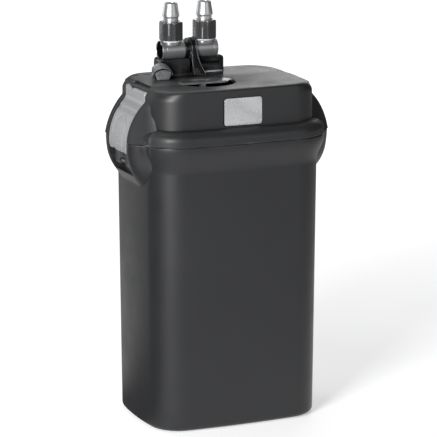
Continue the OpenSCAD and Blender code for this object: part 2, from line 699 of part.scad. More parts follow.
module lock_nut() {
  lip = nut_low + 13;
  difference() {
    intersection() {
      translate([0, 0, nut_low]) cylinder(r = nut_size / 2, h = nut_height, $fn = 6);
      translate([0, 0, nut_low]) cylinder(r1 = nut_size / 2 + 9, r2 = nut_size / 2 - 0.8, h = nut_height);
    }
    translate([0, 0, nut_low - 1]) cylinder(r = 9.7, h = lip - nut_low + 1);
    translate([0, 0, nut_low]) cylinder(r = barb_radius - 1.3 + running_gap, h = 40);
  }
}
module left_lock_nut() {
  color([0.22, 0.22, 0.23]) translate([left_port_x, valve_y, 0]) rotate(8) lock_nut();
}
module right_lock_nut() {
  color([0.22, 0.22, 0.23]) translate([right_port_x, valve_y, 0]) rotate(8) lock_nut();
}

// Flow lever: a hub on both valve plugs and a blade that hangs in front of the valve
blade_out = barrel_radius + 3.3;
blade_in = barrel_radius + 0.3;
blade_low = deck_z + 2;
module flow_lever() {
  flare = 12;
  color([0.09, 0.09, 0.095]) difference() {
    union() {
      translate([lever_left, valve_y, valve_z]) rotate([90, 0, 90])
        linear_extrude(lever_right - lever_left) {
          circle(r = barrel_radius - 1.5);
          intersection() {
            circle(r = blade_out);
            translate([-blade_out, 0]) square(blade_out);
          }
          translate([-blade_out, blade_low - valve_z]) square([blade_out - blade_in, valve_z - blade_low]);
        }
      translate([0, valve_y - blade_in, 0]) rotate([90, 0, 0]) linear_extrude(blade_out - blade_in)
        difference() {
          translate([lever_left, blade_low]) square([lever_right - lever_left + flare - 1, flare - 0.1]);
          translate([lever_right + flare, blade_low + flare]) circle(r = flare);
        }
    }
    translate([0, valve_y, valve_z]) bar_x(4.6, lever_left - 1, lever_right + 1);
  }
}

// Latch: a thumb piece on a pin, with a tooth that goes down into the deck
module valve_latch() {
  top = housing_low + 15;
  color([0.6, 0.61, 0.62]) difference() {
    union() {
      translate([latch_x, latch_y + 3.2, housing_low + 0.6]) rotate([90, 0, 0]) linear_extrude(3.2) {
        translate([-latch_width / 2, 0]) square([latch_width, top - housing_low - 6]);
        intersection() {
          translate([-latch_width / 2, 0]) square([latch_width, top - housing_low - 0.6]);
          translate([0, top - housing_low - 16.6]) circle(r = 16);
        }
      }
      translate(pin_at) bar_x(pin_radius + 0.6, -4.2, 4.2);
      translate([latch_x - 4.2, latch_y + 3, pin_at[2] - 2]) cube([8.4, pin_at[1] - latch_y - 3, 4]);
      translate([latch_x - 3, latch_y + 0.4, deck_under + 0.4]) cube([6, 2.4, housing_low + 2 - deck_under]);
    }
    translate(pin_at) bar_x(pin_radius - 0.8 + running_gap, -30, 30);
  }
}
module latch_pin() {
  color([0.7, 0.7, 0.72]) translate(pin_at) bar_x(pin_radius - 0.8, -8.4, 8.4);
}

// Media: stacked baskets on the left, an upright foam frame on the right
basket_out = plug_out - 5;
frame_x = half_l - 45;
basket_low = floor_top + seat;
basket_height = (base_low - 48 - basket_low) / basket_count;
stack_top = basket_low + basket_count * basket_height;
module basket_space(inset, low, high) {
  intersection() {
    slab(basket_out - inset, low, high);
    block([-half_l, -half_d, low - 1], [frame_x - 1 - inset, half_d, high + 1]);
  }
}
module media_baskets() {
  color([0.5, 0.52, 0.54]) for (i = [0:basket_count - 1]) {
    low = basket_low + i * basket_height;
    high = low + basket_height - seat;
    difference() {
      basket_space(0, low, high);
      basket_space(basket_wall, low + basket_wall, high + 1);
      for (x = [-70:16:frame_x - 26]) translate([x, -40, low - 1]) cube([6, 80, basket_wall + 2]);
    }
  }
}
module basket_lid() {
  color([0.5, 0.52, 0.54]) {
    difference() {
      basket_space(0, stack_top, stack_top + 3);
      for (x = [-70:16:frame_x - 26]) translate([x, -50, stack_top - 1]) cube([6, 30, 5]);
    }
    for (x = [-50, 30]) block([x, -6, stack_top], [x + 5, 6, stack_top + 22]);
    block([-50, -6, stack_top + 18], [35, 6, stack_top + 22]);
  }
}
module media_slab(index, height) {
  low = basket_low + index * basket_height + basket_wall + seat;
  basket_space(basket_wall + 1, low, low + height);
}
module coarse_pads() {
  color([0.12, 0.2, 0.3]) media_slab(0, basket_height - basket_wall - 8);
}
module ceramic_rings() {
  step = 2 * media_ring_radius + 1;
  low = basket_low + basket_height + basket_wall + seat;
  color([0.85, 0.8, 0.7]) for (ix = [0:5], iy = [0:3])
    translate([-65 + ix * step, (iy - 1.5) * step, 0])
      tube(media_ring_radius, media_ring_radius * 0.5, low, low + basket_height * 0.7);
}
module polishing_pad() {
  color([0.92, 0.93, 0.93]) media_slab(basket_count - 1, 30);
}
module foam_space(inset, low, high) {
  intersection() {
    slab(basket_out - inset, low, high);
    block([frame_x + inset, -half_d, low - 1], [half_l, half_d, high + 1]);
  }
}
module foam_frame() {
  color([0.5, 0.52, 0.54]) difference() {
    foam_space(0, basket_low, stack_top);
    for (z = [basket_low + 3, (basket_low + stack_top) / 2 + 1.5])
      foam_space(2, z, z + (stack_top - basket_low) / 2 - 4.5);
    for (y = [-44, -14, 16]) block([frame_x - 1, y, basket_low + 8], [frame_x + 4, y + 24, stack_top - 8]);
  }
}
module foam_pads() {
  color([0.1, 0.1, 0.11]) for (z = [basket_low + 3, (basket_low + stack_top) / 2 + 1.5])
    foam_space(2.4, z + seat, z + (stack_top - basket_low) / 2 - 4.5 - seat);
}

canister_shell();
rubber_feet();
clamp_pins();
foam_frame();
foam_pads();
media_baskets();
basket_lid();
coarse_pads();
ceramic_rings();
polishing_pad();
head_cover();
head_base();
head_screws();
lid_seal();
badge_plate();
stator_core();
stator_coils();
motor_case();
rotor_shaft();
shaft_bushings();
impeller_cover();
cord_gland();
primer_cylinder();
rotor_magnet();
impeller_blades();
primer_handle();
primer_rod();
primer_piston();
piston_seal();
left_clamp();
right_clamp();
valve_housing();
left_barrel();
right_barrel();
port_seals();
nozzle_washers();
left_hose_tail();
right_hose_tail();
left_lock_nut();
right_lock_nut();
flow_lever();
valve_rotors();
latch_pin();
valve_latch();
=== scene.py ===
"""Dresses the canister filter: moulded shell, motor head, clamps, primer and lift-out valve.

Metres in Blender, millimetres inside the shape functions. The filter stands on z = 0, its front
faces -Y and the left-hand clamp is at -X.
"""

import json
import math

import bmesh
import bpy
from bpy.props import FloatProperty, FloatVectorProperty, PointerProperty
from bpy.types import Operator, Panel, PropertyGroup
from mathutils import Matrix, Vector


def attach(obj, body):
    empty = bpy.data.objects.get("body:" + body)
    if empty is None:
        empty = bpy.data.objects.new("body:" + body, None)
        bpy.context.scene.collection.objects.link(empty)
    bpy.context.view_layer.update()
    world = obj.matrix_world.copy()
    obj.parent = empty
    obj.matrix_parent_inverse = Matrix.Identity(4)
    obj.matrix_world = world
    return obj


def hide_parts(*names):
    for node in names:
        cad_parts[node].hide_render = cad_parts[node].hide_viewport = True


bl_info = {
    "name": "Canister filter",
    "version": (1, 0, 0),
    "blender": (4, 5, 0),
    "location": "View3D > Sidebar > Canister",
    "description": "Builds the outside of an aquarium canister filter round its engineering model",
    "category": "Object",
}

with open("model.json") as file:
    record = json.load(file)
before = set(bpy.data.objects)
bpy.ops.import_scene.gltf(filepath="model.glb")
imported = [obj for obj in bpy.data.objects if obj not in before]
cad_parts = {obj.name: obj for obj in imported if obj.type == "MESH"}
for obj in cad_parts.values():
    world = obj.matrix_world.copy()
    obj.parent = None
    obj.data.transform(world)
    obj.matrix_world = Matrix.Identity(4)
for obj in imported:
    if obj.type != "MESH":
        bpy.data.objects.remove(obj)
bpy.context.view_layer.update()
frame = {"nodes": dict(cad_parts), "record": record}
NODES = frame["nodes"]
MM = 0.001

# Outline of the canister, seen from above, in millimetres
HALF_L = 107.0
HALF_D = 80.0
CORNER_R = 40.0
BOW = 2.2
CORNER_X = HALF_L - CORNER_R - BOW
CORNER_Y = HALF_D - CORNER_R - BOW
FRONT_ARC = CORNER_R + (CORNER_X**2 + BOW**2) / (2 * BOW)
SIDE_ARC = CORNER_R + (CORNER_Y**2 + BOW**2) / (2 * BOW)
FRONT_TURN = math.atan2(CORNER_X, FRONT_ARC - CORNER_R - BOW)
SIDE_TURN = math.atan2(CORNER_Y, SIDE_ARC - CORNER_R - BOW)

# Heights
RIM_Z = 333.5
FOOT_STAND = 1.2
FLOOR_TOP = 7.0
FLARE_HEIGHT = 29.5
FLARE_Z = RIM_Z - 2.5 - FLARE_HEIGHT
COLLAR_OUT = 8.5
WALL = 3.2
BASE_ROUND = 6.0
DRAFT = math.tan(math.radians(0.5))
HEAD_BOTTOM = RIM_Z + 0.9
SKIRT_TOP = RIM_Z + 6.5
BEAD = 11.5
CREASE_Z = SKIRT_TOP + BEAD
DECK_Z = RIM_Z + 61.2
INSET = 5.2
DECK_ROUND = 3.6
SKIRT_ROUND = 0.5
COVER = 3.0
DECK_UNDER = DECK_Z - COVER

# Ears and clamps
EAR_RADIUS = 67.4
EAR_REACH = HALF_L + 16.5
EAR_X = EAR_REACH - EAR_RADIUS
EAR_Z = RIM_Z - 5.5
CLAMP_WIDTH = 56.8
CHEEK = CLAMP_WIDTH / 2 + 0.4
FLANK = CHEEK + 3.7
PIN_X = HALF_L + 6.5
PIN_Z = RIM_Z - 26.5
CHIN_Z = PIN_Z - 12.5
EAR_END_Y = CORNER_Y + 14.0
EAR_SMOOTH = 2.0
FLANK_RIDGE = 9.0
DRUM_RIDGE = 7.0
CHEEK_ROUND = 1.1
CHIN_ROUND = 1.2
ROOT_Y = 53.5
VALLEY_DEPTH, VALLEY_HALF = 3.2, 5.5
HOLLOW_END = 58.0
SCOOP_R = 8.0
SCOOP_HALF = 24.5
SCOOP_Z = DECK_Z - 3.2

PAD_X = HALF_L - 5.8
SCOOP_X = PAD_X - 4.4
PAD_TOP = DECK_Z - 4.2
POCKET_X = HALF_L - 10.8
POCKET_LOW = PAD_TOP - 24
SHOULDER_LOW = DECK_Z - 11
SHOULDER_IN = 7.0

# Valve and primer
LEFT_PORT = -44.0
RIGHT_PORT = -2.5
VALVE_Y = 31.0
VALVE_Z = DECK_Z + 31.1
HANDLE_X, HANDLE_Y = -20.2, -16.6
WELL_R = 33.2
CUP_FLOOR = DECK_Z - 10.3
ROD_HOLE = 3.1


def ease(t):
    t = min(1.0, max(0.0, t))
    return t * t * (3 - 2 * t)


def bump(t):
    """A smooth hump that is 1 at 0 and 0 from 1 outwards."""
    return (1 - t * t) ** 2 if abs(t) < 1 else 0.0


def smooth_max(a, b, k):
    """The larger of two numbers, with a fillet of about k where they meet."""
    h = max(k - abs(a - b), 0.0) / k
    return max(a, b) + h * h * k / 4


def smooth_min(a, b, k):
    return -smooth_max(-a, -b, k)


def steps(low, high, n):
    """n + 1 even steps from low to high."""
    return [low + (high - low) * i / n for i in range(n + 1)]


def side_columns():
    """Distances from the middle of a short side at which the outline has its upright columns."""
    ys = steps(0, 24, 6) + steps(25.5, CHEEK - 0.9, 2) + [CHEEK - 0.05, CHEEK + 0.25, CHEEK + 0.7]
    ys += steps(CHEEK + 1.2, 36.5, 14) + steps(37.3, EAR_END_Y + 1.2, 18)
    return ys


def quadrant(d):
    """The outline's +X, +Y quarter, offset by d, from the middle of the short side onwards."""
    points = []
    for y in side_columns():
        if y < CORNER_Y + (CORNER_R + d) * math.sin(SIDE_TURN):
            points.append((HALF_L - SIDE_ARC + math.sqrt((SIDE_ARC + d) ** 2 - y * y), y))
        else:
            points.append((CORNER_X + math.sqrt((CORNER_R + d) ** 2 - (y - CORNER_Y) ** 2), y))
    start = math.asin((points[-1][1] - CORNER_Y) / (CORNER_R + d))
    for a in steps(start, math.pi / 2 - FRONT_TURN, 16)[1:]:
        points.append((CORNER_X + (CORNER_R + d) * math.cos(a), CORNER_Y + (CORNER_R + d) * math.sin(a)))
    for a in steps(FRONT_TURN, 0, 9)[1:]:
        points.append(((FRONT_ARC + d) * math.sin(a), HALF_D - FRONT_ARC + (FRONT_ARC + d) * math.cos(a)))
    return points


def outline(d):
    """The whole outline, offset by d, anticlockwise from the middle of the right-hand side."""
    q = quadrant(d)
    left = [(-x, y) for x, y in reversed(q[:-1])]
    upper = q + left
    return upper + [(x, -y) for x, y in reversed(upper[1:-1])]


def plane_x(p, y, z):
    """Where the plane through three points has its x, at y and z."""
    a, b, c = (Vector(v) for v in p)
    n = (b - a).cross(c - a)
    return a.x - (n.y * (y - a.y) + n.z * (z - a.z)) / n.x


def on_ear(x, y, z):
    """A point given by its distances in from the ear's tip, out from its cheek and above the rim."""
    return (EAR_REACH - x, FLANK + y, RIM_Z + z)


def on_wall(x, y, z):
    """A point on the side wall next to the ear, given the same way."""
    return (HALF_L - x, FLANK + y, RIM_Z + z)


EAR_EDGE = on_ear(2.5, 8.8, 0)
EAR_ROOT = on_ear(15.7, 19.5, 0)
LOWER_FLANKS = (
    (EAR_EDGE, EAR_ROOT, on_wall(1.5, 18.8, -19.5)),
    (on_wall(1.4, 13.8, -37.5), on_wall(1, 3.8, -46), on_ear(5.5, 7.8, -30.5)),
)
UPPER_FLANKS = (
    (EAR_EDGE, EAR_ROOT, on_wall(8.4, 13.8, 19)),
    (EAR_EDGE, on_wall(8.4, 13.8, 19), on_ear(8.6, 5.8, 27.5)),
)


def edge_drop(radius, inside):
    """How far a rounded edge falls away at a distance inside it."""
    return radius - math.sqrt(max(0.0, radius**2 - (radius - inside) ** 2)) if inside < radius else 0.0


def ear_x(y, z, flanks):
    """How far the ear reaches out at y and z: a drum lying along Y, cut by two slanting flanks."""
    drop = EAR_RADIUS**2 - (z - EAR_Z) ** 2
    if drop <= 0 or y > EAR_END_Y + 1:
        return -1.0
    drum = EAR_X + math.sqrt(drop)
    meet = smooth_max if flanks is UPPER_FLANKS else smooth_min
    flank = meet(plane_x(flanks[0], y, z), plane_x(flanks[1], y, z), FLANK_RIDGE)
    return smooth_min(drum, flank, DRUM_RIDGE)


def valley(y, z):
    """Depth of the soft groove where the ear's flank runs out into the body."""
    root = ROOT_Y - 0.0115 * (z - RIM_Z) ** 2 * (1.0 if z > RIM_Z else 0.55)
    fade = ease((z - RIM_Z + 46) / 14) * (1 - ease((z - 360) / 10))
    return VALLEY_DEPTH * bump((y - root) / VALLEY_HALF) * fade


def with_ear(x, y, z, flanks, low):
    """The wall's x at y and z, pushed out by the ear unless the clamp's recess is there."""
    side, x, y = (1 if x > 0 else -1), abs(x), abs(y)
    if x < HALF_L - 24 or z < low:
        return side * x
    x -= valley(y, z)
    if y > EAR_END_Y + 1 or (y < CHEEK and z > CHIN_Z):
        return side * x
    ear = ear_x(y, z, flanks)
    if z > CHIN_Z:
        ear -= 0.8 * edge_drop(CHEEK_ROUND, y - CHEEK)
    if y < CHEEK:
        ear -= edge_drop(CHIN_ROUND, CHIN_Z - z)
    return side * (smooth_max(x, ear, EAR_SMOOTH) if ear > 0 else x)


def loops(bm, rows):
    """Skins closed loops of points, given in millimetres, and returns the loops of vertices."""
    made = [[bm.verts.new(Vector(p) * MM) for p in row] for row in rows]
    for low, high in zip(made, made[1:]):
        n = len(low)
        for i in range(n):
            j = (i + 1) % n
            bm.faces.new((low[i], low[j], high[j], high[i]))
    return made


def fill(bm, *rings):
    """Closes flat loops of vertices with triangles, with the inner loops as holes."""
    edges = []
    for ring in rings:
        for a, b in zip(ring, ring[1:] + ring[:1]):
            edges.append(bm.edges.get((a, b)) or bm.edges.new((a, b)))
    bmesh.ops.triangle_fill(bm, edges=edges, use_beauty=True, use_dissolve=False)


def skin(bm, rows):
    """Skins closed loops of points and closes both ends."""
    made = loops(bm, rows)
    fill(bm, made[0])
    fill(bm, made[-1])
    return made


def circle(x, y, z, r, n=96):
    return [(x + r * math.cos(math.tau * i / n), y + r * math.sin(math.tau * i / n), z) for i in range(n)]


def revolve(bm, x, y, profile, n=96, close=True):
    """Turns a profile of [radius, height] points about an upright axis at x, y."""
    rows = [circle(x, y, z, r, n) for r, z in profile]
    if close:
        skin(bm, rows)
    else:
        loops(bm, rows)


def finish_mesh(bm, name, body, slot, *replaced, finish=None, sharp=35.0):
    """Turns the bmesh into a piece that rides on a body, in its slot's finish unless another is named."""
    bmesh.ops.recalc_face_normals(bm, faces=bm.faces)
    mesh = bpy.data.meshes.new(name)
    bm.to_mesh(mesh)
    bm.free()
    mesh.shade_smooth()
    mesh.set_sharp_from_angle(angle=math.radians(sharp))
    piece = bpy.data.objects.new(name, mesh)
    bpy.context.scene.collection.objects.link(piece)
    mesh.materials.append(bpy.data.materials[finish or FINISH_OF_SLOT[slot]])
    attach(piece, body)
    if replaced:
        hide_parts(*replaced)


# Materials


class Wiring:
    """Short calls for placing and joining shader nodes in one tree."""

    def __init__(self, tree):
        self.tree = tree

    def feed(self, sockets, values):
        """Joins each socket to an output, or sets it to a constant."""
        for key, value in values.items():
            if isinstance(value, bpy.types.NodeSocket):
                self.tree.links.new(value, sockets[key])
            else:
                sockets[key].default_value = value

    def node(self, kind, inputs=None, **values):
        made = self.tree.nodes.new(kind)
        for key, value in values.items():
            setattr(made, key, value)
        self.feed(made.inputs, inputs or {})
        return made

    def place(self):
        """The place on the piece, in its own coordinates."""
        return self.node("ShaderNodeTexCoord").outputs["Object"]

    def split(self, vector):
        return self.node("ShaderNodeSeparateXYZ", {0: vector}).outputs

    def noise(self, where, scale, detail=2.0, rough=0.5):
        inputs = {"Vector": where, "Scale": scale, "Detail": detail, "Roughness": rough}
        return self.node("ShaderNodeTexNoise", inputs).outputs["Fac"]

    def spread(self, source, low, high, to_low=0.0, to_high=1.0):
        inputs = {"Value": source, "From Min": low, "From Max": high, "To Min": to_low, "To Max": to_high}
        return self.node("ShaderNodeMapRange", inputs).outputs["Result"]

    def math(self, operation, a, b):
        return self.node("ShaderNodeMath", {0: a, 1: b}, operation=operation).outputs[0]

    def mix(self, factor, a, b, blend="MIX"):
        made = self.node("ShaderNodeMix", data_type="RGBA", blend_type=blend)
        self.feed(made.inputs, {"Factor": factor, 6: a, 7: b})
        return made.outputs[2]

    def mix_shaders(self, factor, a, b):
        return self.node("ShaderNodeMixShader", {0: factor, 1: a, 2: b}).outputs[0]

    def relief(self, height, distance, strength=1.0, invert=False):
        """A bump's normal, with its distance in millimetres."""
        inputs = {"Strength": strength, "Distance": distance * MM, "Height": height}
        return self.node("ShaderNodeBump", inputs, invert=invert).outputs["Normal"]


def new_material(name):
    """A new material, the wiring of its tree and its shader's sockets."""
    material = bpy.data.materials.new(name)
    material.use_nodes = True
    return material, Wiring(material.node_tree), material.node_tree.nodes["Principled BSDF"].inputs


# Paler colour of the convex edges: partly wear, partly painted highlight.
WORN_AND_GLINT = (0.55, 0.56, 0.57, 1)
DUSTY = (0.6, 0.6, 0.6, 1)
WHITE = (1, 1, 1, 1)
BLACK = (0, 0, 0, 1)


def moulded_group():
    """Moulded plastic: a fine eroded grain, slow changes of tone, and paler edges, partly wear and partly
    painted highlight.
    """
    group = bpy.data.node_groups.new("moulded_plastic", "ShaderNodeTree")
    for name, kind, default in (
        ("Colour", "Color", (0.05, 0.05, 0.05, 1)),
        ("Grain Scale", "Float", 900.0),
        ("Roughness Low", "Float", 0.4),
        ("Roughness High", "Float", 0.5),
        ("Edge Wear And Glint", "Float", 0.3),
        ("Dust", "Float", 0.05),
    ):
        socket = group.interface.new_socket(name=name, in_out="INPUT", socket_type="NodeSocket" + kind)
        socket.default_value = default
    for name, kind in (("Colour", "Color"), ("Roughness", "Float"), ("Height", "Float")):
        group.interface.new_socket(name=name, in_out="OUTPUT", socket_type="NodeSocket" + kind)
    w = Wiring(group)
    inside = w.node("NodeGroupInput").outputs
    where = w.place()
    geometry = w.node("ShaderNodeNewGeometry").outputs
    grain = w.noise(where, inside["Grain Scale"], 1.5)
    slow = w.noise(where, 9.0, 3.0)
    streak = w.noise(where, 45.0, 4.0, 0.6)
    # Paler convex edges: partly wear, partly a painted highlight along the edges.
    wear_and_glint = w.spread(geometry["Pointiness"], 0.515, 0.56)
    wear_and_glint = w.math("MULTIPLY", wear_and_glint, w.spread(streak, 0.35, 0.65))
    wear_and_glint = w.math("MULTIPLY", wear_and_glint, inside["Edge Wear And Glint"])
    tone = w.mix(w.spread(slow, 0.35, 0.65, 0.0, 0.16), inside["Colour"], WHITE, "SOFT_LIGHT")
    tone = w.mix(wear_and_glint, tone, WORN_AND_GLINT)
    up = w.split(geometry["Normal"])["Z"]
    dust = w.math("MULTIPLY", w.spread(up, 0.5, 1.0), w.spread(streak, 0.4, 0.7, 0.3, 1.0))
    dust = w.math("MULTIPLY", dust, inside["Dust"])
    rough = w.node("ShaderNodeMix", data_type="FLOAT")
    w.feed(rough.inputs, {"Factor": w.spread(streak, 0.3, 0.7), 2: inside["Roughness Low"],
                          3: inside["Roughness High"]})
    tone = w.mix(dust, tone, DUSTY)
    w.node("NodeGroupOutput", {"Colour": tone, "Roughness": rough.outputs[0], "Height": grain})


def plastic(name, colour, rough, grain=900.0, depth=0.02, wear_and_glint=0.3, dust=0.0, metal=0.0, shine=0.5):
    """A material of the moulded-plastic group with its own colour, gloss, grain, edge wear and painted edge
    highlight, and dust.
    """
    material, w, shader = new_material(name)
    group = w.node("ShaderNodeGroup", node_tree=bpy.data.node_groups["moulded_plastic"])
    w.feed(group.inputs, {"Colour": (*colour, 1.0), "Grain Scale": grain, "Roughness Low": rough[0],
                          "Roughness High": rough[1], "Edge Wear And Glint": wear_and_glint, "Dust": dust})
    w.feed(shader, {"Base Color": group.outputs["Colour"], "Roughness": group.outputs["Roughness"],
                    "Normal": w.relief(group.outputs["Height"], depth, 0.35), "Metallic": metal,
                    "Specular IOR Level": shine})
    return material


def matt_ears(material, near, far, more):
    """Makes a material rougher beyond a distance from the middle, where the ears are textured."""
    w = Wiring(material.node_tree)
    group = next(n for n in material.node_tree.nodes if n.type == "GROUP")
    side = w.math("ABSOLUTE", w.split(w.place())["X"], 0.0)
    for name in ("Roughness Low", "Roughness High"):
        plain = group.inputs[name].default_value
        w.feed(group.inputs, {name: w.spread(side, near, far, plain, plain + more)})


def cells(name, colour, dark, scale, rough=0.9, depth=1.2):
    """Open-celled foam or felted fibre: dark pores between pale struts."""
    _, w, shader = new_material(name)
    where = w.place()
    pores = w.node("ShaderNodeTexVoronoi", {"Scale": scale, "Vector": where}, feature="DISTANCE_TO_EDGE")
    edge = w.spread(pores.outputs["Distance"], 0.02, 0.2)
    w.feed(shader, {"Base Color": w.mix(edge, (*colour, 1), (*dark, 1)),
                    "Roughness": w.spread(w.noise(where, 60.0), 0.3, 0.7, rough - 0.1, rough),
                    "Normal": w.relief(edge, depth, invert=True)})


def brushed(name, colour, rough, along="Z", stretch=40.0):
    """Drawn or turned metal with fine lines along one axis."""
    _, w, shader = new_material(name)
    scale = [1.0 if axis == along else stretch for axis in "XYZ"]
    squeeze = w.node("ShaderNodeMapping", {"Scale": scale, "Vector": w.place()})
    lines = w.noise(squeeze.outputs[0], 60.0, 3.0)
    tone = w.spread(lines, 0.3, 0.7, 0.85, 1.0)
    w.feed(shader, {"Base Color": w.mix(1.0, (*colour, 1), tone, "MULTIPLY"),
                    "Roughness": w.spread(lines, 0.3, 0.7, rough - 0.06, rough + 0.08),
                    "Normal": w.relief(lines, 0.01, 0.2), "Metallic": 1.0})


def make_finishes(settings):
    """Makes every material. The numbers are roughness, grain per metre and grain depth in millimetres."""
    moulded_group()
    plastic("shell_plastic", settings.shell_colour, (0.36, 0.44), 1400.0, 0.012, wear_and_glint=0.12, dust=0.004)
    head_shell = plastic("head_plastic", settings.head_colour, (0.4, 0.5), 1400.0, 0.015, wear_and_glint=0.15,
                         dust=0.008)
    matt_ears(head_shell, 0.092, 0.105, 0.35)
    plastic("valve_plastic", (0.003, 0.003, 0.0032), (0.2, 0.28), 1500.0, 0.01, wear_and_glint=0.05, shine=0.16)
    # Near-black finish of the pieces that paint shade: the bores, the barrel caps and plugs, the latch's
    # groove and the primer's cup.
    plastic("shadow_plastic", (0.002, 0.002, 0.002), rough=(0.7, 0.8), wear_and_glint=0.0, shine=0.05)
    plastic("lever_plastic", (0.004, 0.004, 0.0042), (0.18, 0.26), 1500.0, 0.01, wear_and_glint=0.3, shine=0.3)
    plastic("barrel_plastic", (0.24, 0.245, 0.255), (0.27, 0.34), 1500.0, 0.008, wear_and_glint=0.2, metal=0.6)
    plastic("clamp_plastic", settings.clamp_colour, (0.32, 0.42), 1300.0, 0.012, wear_and_glint=0.5, dust=0.01)
    plastic("tail_metal", (0.6, 0.61, 0.62), (0.37, 0.41), 600.0, 0.0006, wear_and_glint=0.0, metal=0.9)
    plastic("latch_plastic", (0.15, 0.154, 0.16), (0.2, 0.36), 900.0, 0.05, wear_and_glint=0.6, metal=0.4)
    plastic("primer_plastic", (0.045, 0.046, 0.048), (0.24, 0.32), 1300.0, 0.01, wear_and_glint=0.3)
    plastic("nut_plastic", (0.022, 0.0225, 0.024), (0.13, 0.19), 1500.0, 0.008, wear_and_glint=0.4, shine=0.8)
    plastic("badge_foil", (0.56, 0.57, 0.585), (0.24, 0.3), 2200.0, 0.004, metal=0.6)
    plastic("soft_rubber", (0.012, 0.012, 0.012), (0.7, 0.8), 1000.0, 0.03, wear_and_glint=0.1)
    plastic("inner_plastic", (0.12, 0.125, 0.13), (0.4, 0.5))
    plastic("white_plastic", (0.75, 0.75, 0.72), (0.35, 0.45))
    plastic("fired_ceramic", (0.62, 0.5, 0.36), (0.8, 0.95), 500.0, 0.3, wear_and_glint=0.5)
    plastic("magnet_ferrite", (0.03, 0.03, 0.032), (0.5, 0.6), 700.0, 0.03)
    brushed("steel_pin", (0.2, 0.2, 0.205), 0.4, "Y")
    brushed("copper_wire", (0.72, 0.33, 0.14), 0.35, "X", 90.0)
    cells("filter_foam", (0.05, 0.06, 0.08), (0.008, 0.01, 0.014), 420.0)
    cells("filter_floss", (0.82, 0.84, 0.84), (0.55, 0.57, 0.58), 900.0, depth=0.4)


FINISH_OF_SLOT = {
    "shell_black": "shell_plastic",
    "head_black": "head_plastic",
    "valve_black": "valve_plastic",
    "barrel_grey": "barrel_plastic",
    "clamp_grey": "clamp_plastic",
    "tail_grey": "tail_metal",
    "nut_grey": "nut_plastic",
    "badge_silver": "badge_foil",
    "rubber": "soft_rubber",
    "steel": "steel_pin",
    "inner_grey": "inner_plastic",
    "white_plastic": "white_plastic",
    "ceramic": "fired_ceramic",
    "foam": "filter_foam",
    "floss": "filter_floss",
    "copper": "copper_wire",
    "magnet": "magnet_ferrite",
}


def round_edges(node, width):
    """Small true bevels and smooth shading on a node that stays as engineered."""
    bevel = node.modifiers.new("edge_round", "BEVEL")
    bevel.width = width * MM
    bevel.segments = 2
    bevel.limit_method = "ANGLE"
    bevel.angle_limit = math.radians(50)
    bevel.use_clamp_overlap = True
    weighted = node.modifiers.new("even_shading", "WEIGHTED_NORMAL")
    weighted.keep_sharp = True


# Edge rounding, in millimetres, of the engineering nodes that show outside
EDGE_ROUND = {"cord_gland": 0.5, "latch_pin": 0.2}


def dress_nodes():
    """Gives each node the finish of its slot, and rounds the edges of those that show."""
    slots = {part["node"]: part["material_slot"] for part in frame["record"]["subparts"]}
    for name, node in NODES.items():
        node.data.materials.clear()
        node.data.materials.append(bpy.data.materials[FINISH_OF_SLOT[slots[name]]])
        node.data.shade_smooth()
        node.data.set_sharp_from_angle(angle=math.radians(35))
        if name in EDGE_ROUND:
            round_edges(node, EDGE_ROUND[name])


# Shapes


def wall_out(z):
    """Outward offset of the canister's outer face at height z."""
    if z < FLARE_Z:
        return (z - FLARE_Z) * DRAFT
    return COLLAR_OUT * ease((z - FLARE_Z) / FLARE_HEIGHT)


def shaped(d, z, flanks, low):
    """One loop of the outside at offset d and height z, with the ears on both short sides."""
    hollow = 0.15 + 0.85 * ease((z - HEAD_BOTTOM) / 8) if flanks is UPPER_FLANKS and z < CREASE_Z else 0.0
    row = []
    for (x, y), (wall_x, _) in zip(outline(d), outline(-INSET)):
        if hollow and abs(x) > CORNER_X and abs(y) < HOLLOW_END:
            x += (wall_x - x) * hollow * (1 - ease((abs(y) - HOLLOW_END + 5.5) / 5.5))
        row.append((with_ear(x, y, z, flanks, low), y, z))
    return row


def plain(d, z):
    return [(x, y, z) for x, y in outline(d)]


def shell_rows(edge_round):
    base = [
        (wall_out(0) - BASE_ROUND * (1 - math.sin(a)), FOOT_STAND + BASE_ROUND * (1 - math.cos(a)))
        for a in steps(0, math.pi / 2, 8)
    ]
    heights = [*range(40, 201, 40), 235, 258]
    heights += steps(261, CHIN_Z - 2, 26) + [CHIN_Z - t for t in (1.5, 1.1, 0.7, 0.4, 0.15, 0)]
    heights += steps(CHIN_Z + 0.05, FLARE_Z, 6) + steps(FLARE_Z, RIM_Z - 2.5, 26)[1:]
    heights += steps(RIM_Z - 2, RIM_Z - edge_round, 2)
    outside = base + [(wall_out(z), z) for z in heights]
    rows = [shaped(d, z, LOWER_FLANKS, CHIN_Z - 30) for d, z in outside]
    for a in steps(0, math.pi / 2, 3)[1:]:
        row = shaped(wall_out(RIM_Z), RIM_Z - edge_round, LOWER_FLANKS, 0)
        inward = edge_round * (1 - math.cos(a))
        rows.append([(x - math.copysign(inward, x), y - math.copysign(inward, y),
                      RIM_Z - edge_round * (1 - math.sin(a))) for x, y, _ in row])
    rows.append(plain(COLLAR_OUT - WALL, RIM_Z))
    for z in steps(RIM_Z - 2.5, FLARE_Z, 8) + [FLOOR_TOP + BASE_ROUND]:
        rows.append(plain(wall_out(z) - WALL, z))
    rows.append(plain(wall_out(FLOOR_TOP) - WALL - BASE_ROUND, FLOOR_TOP))
    return rows


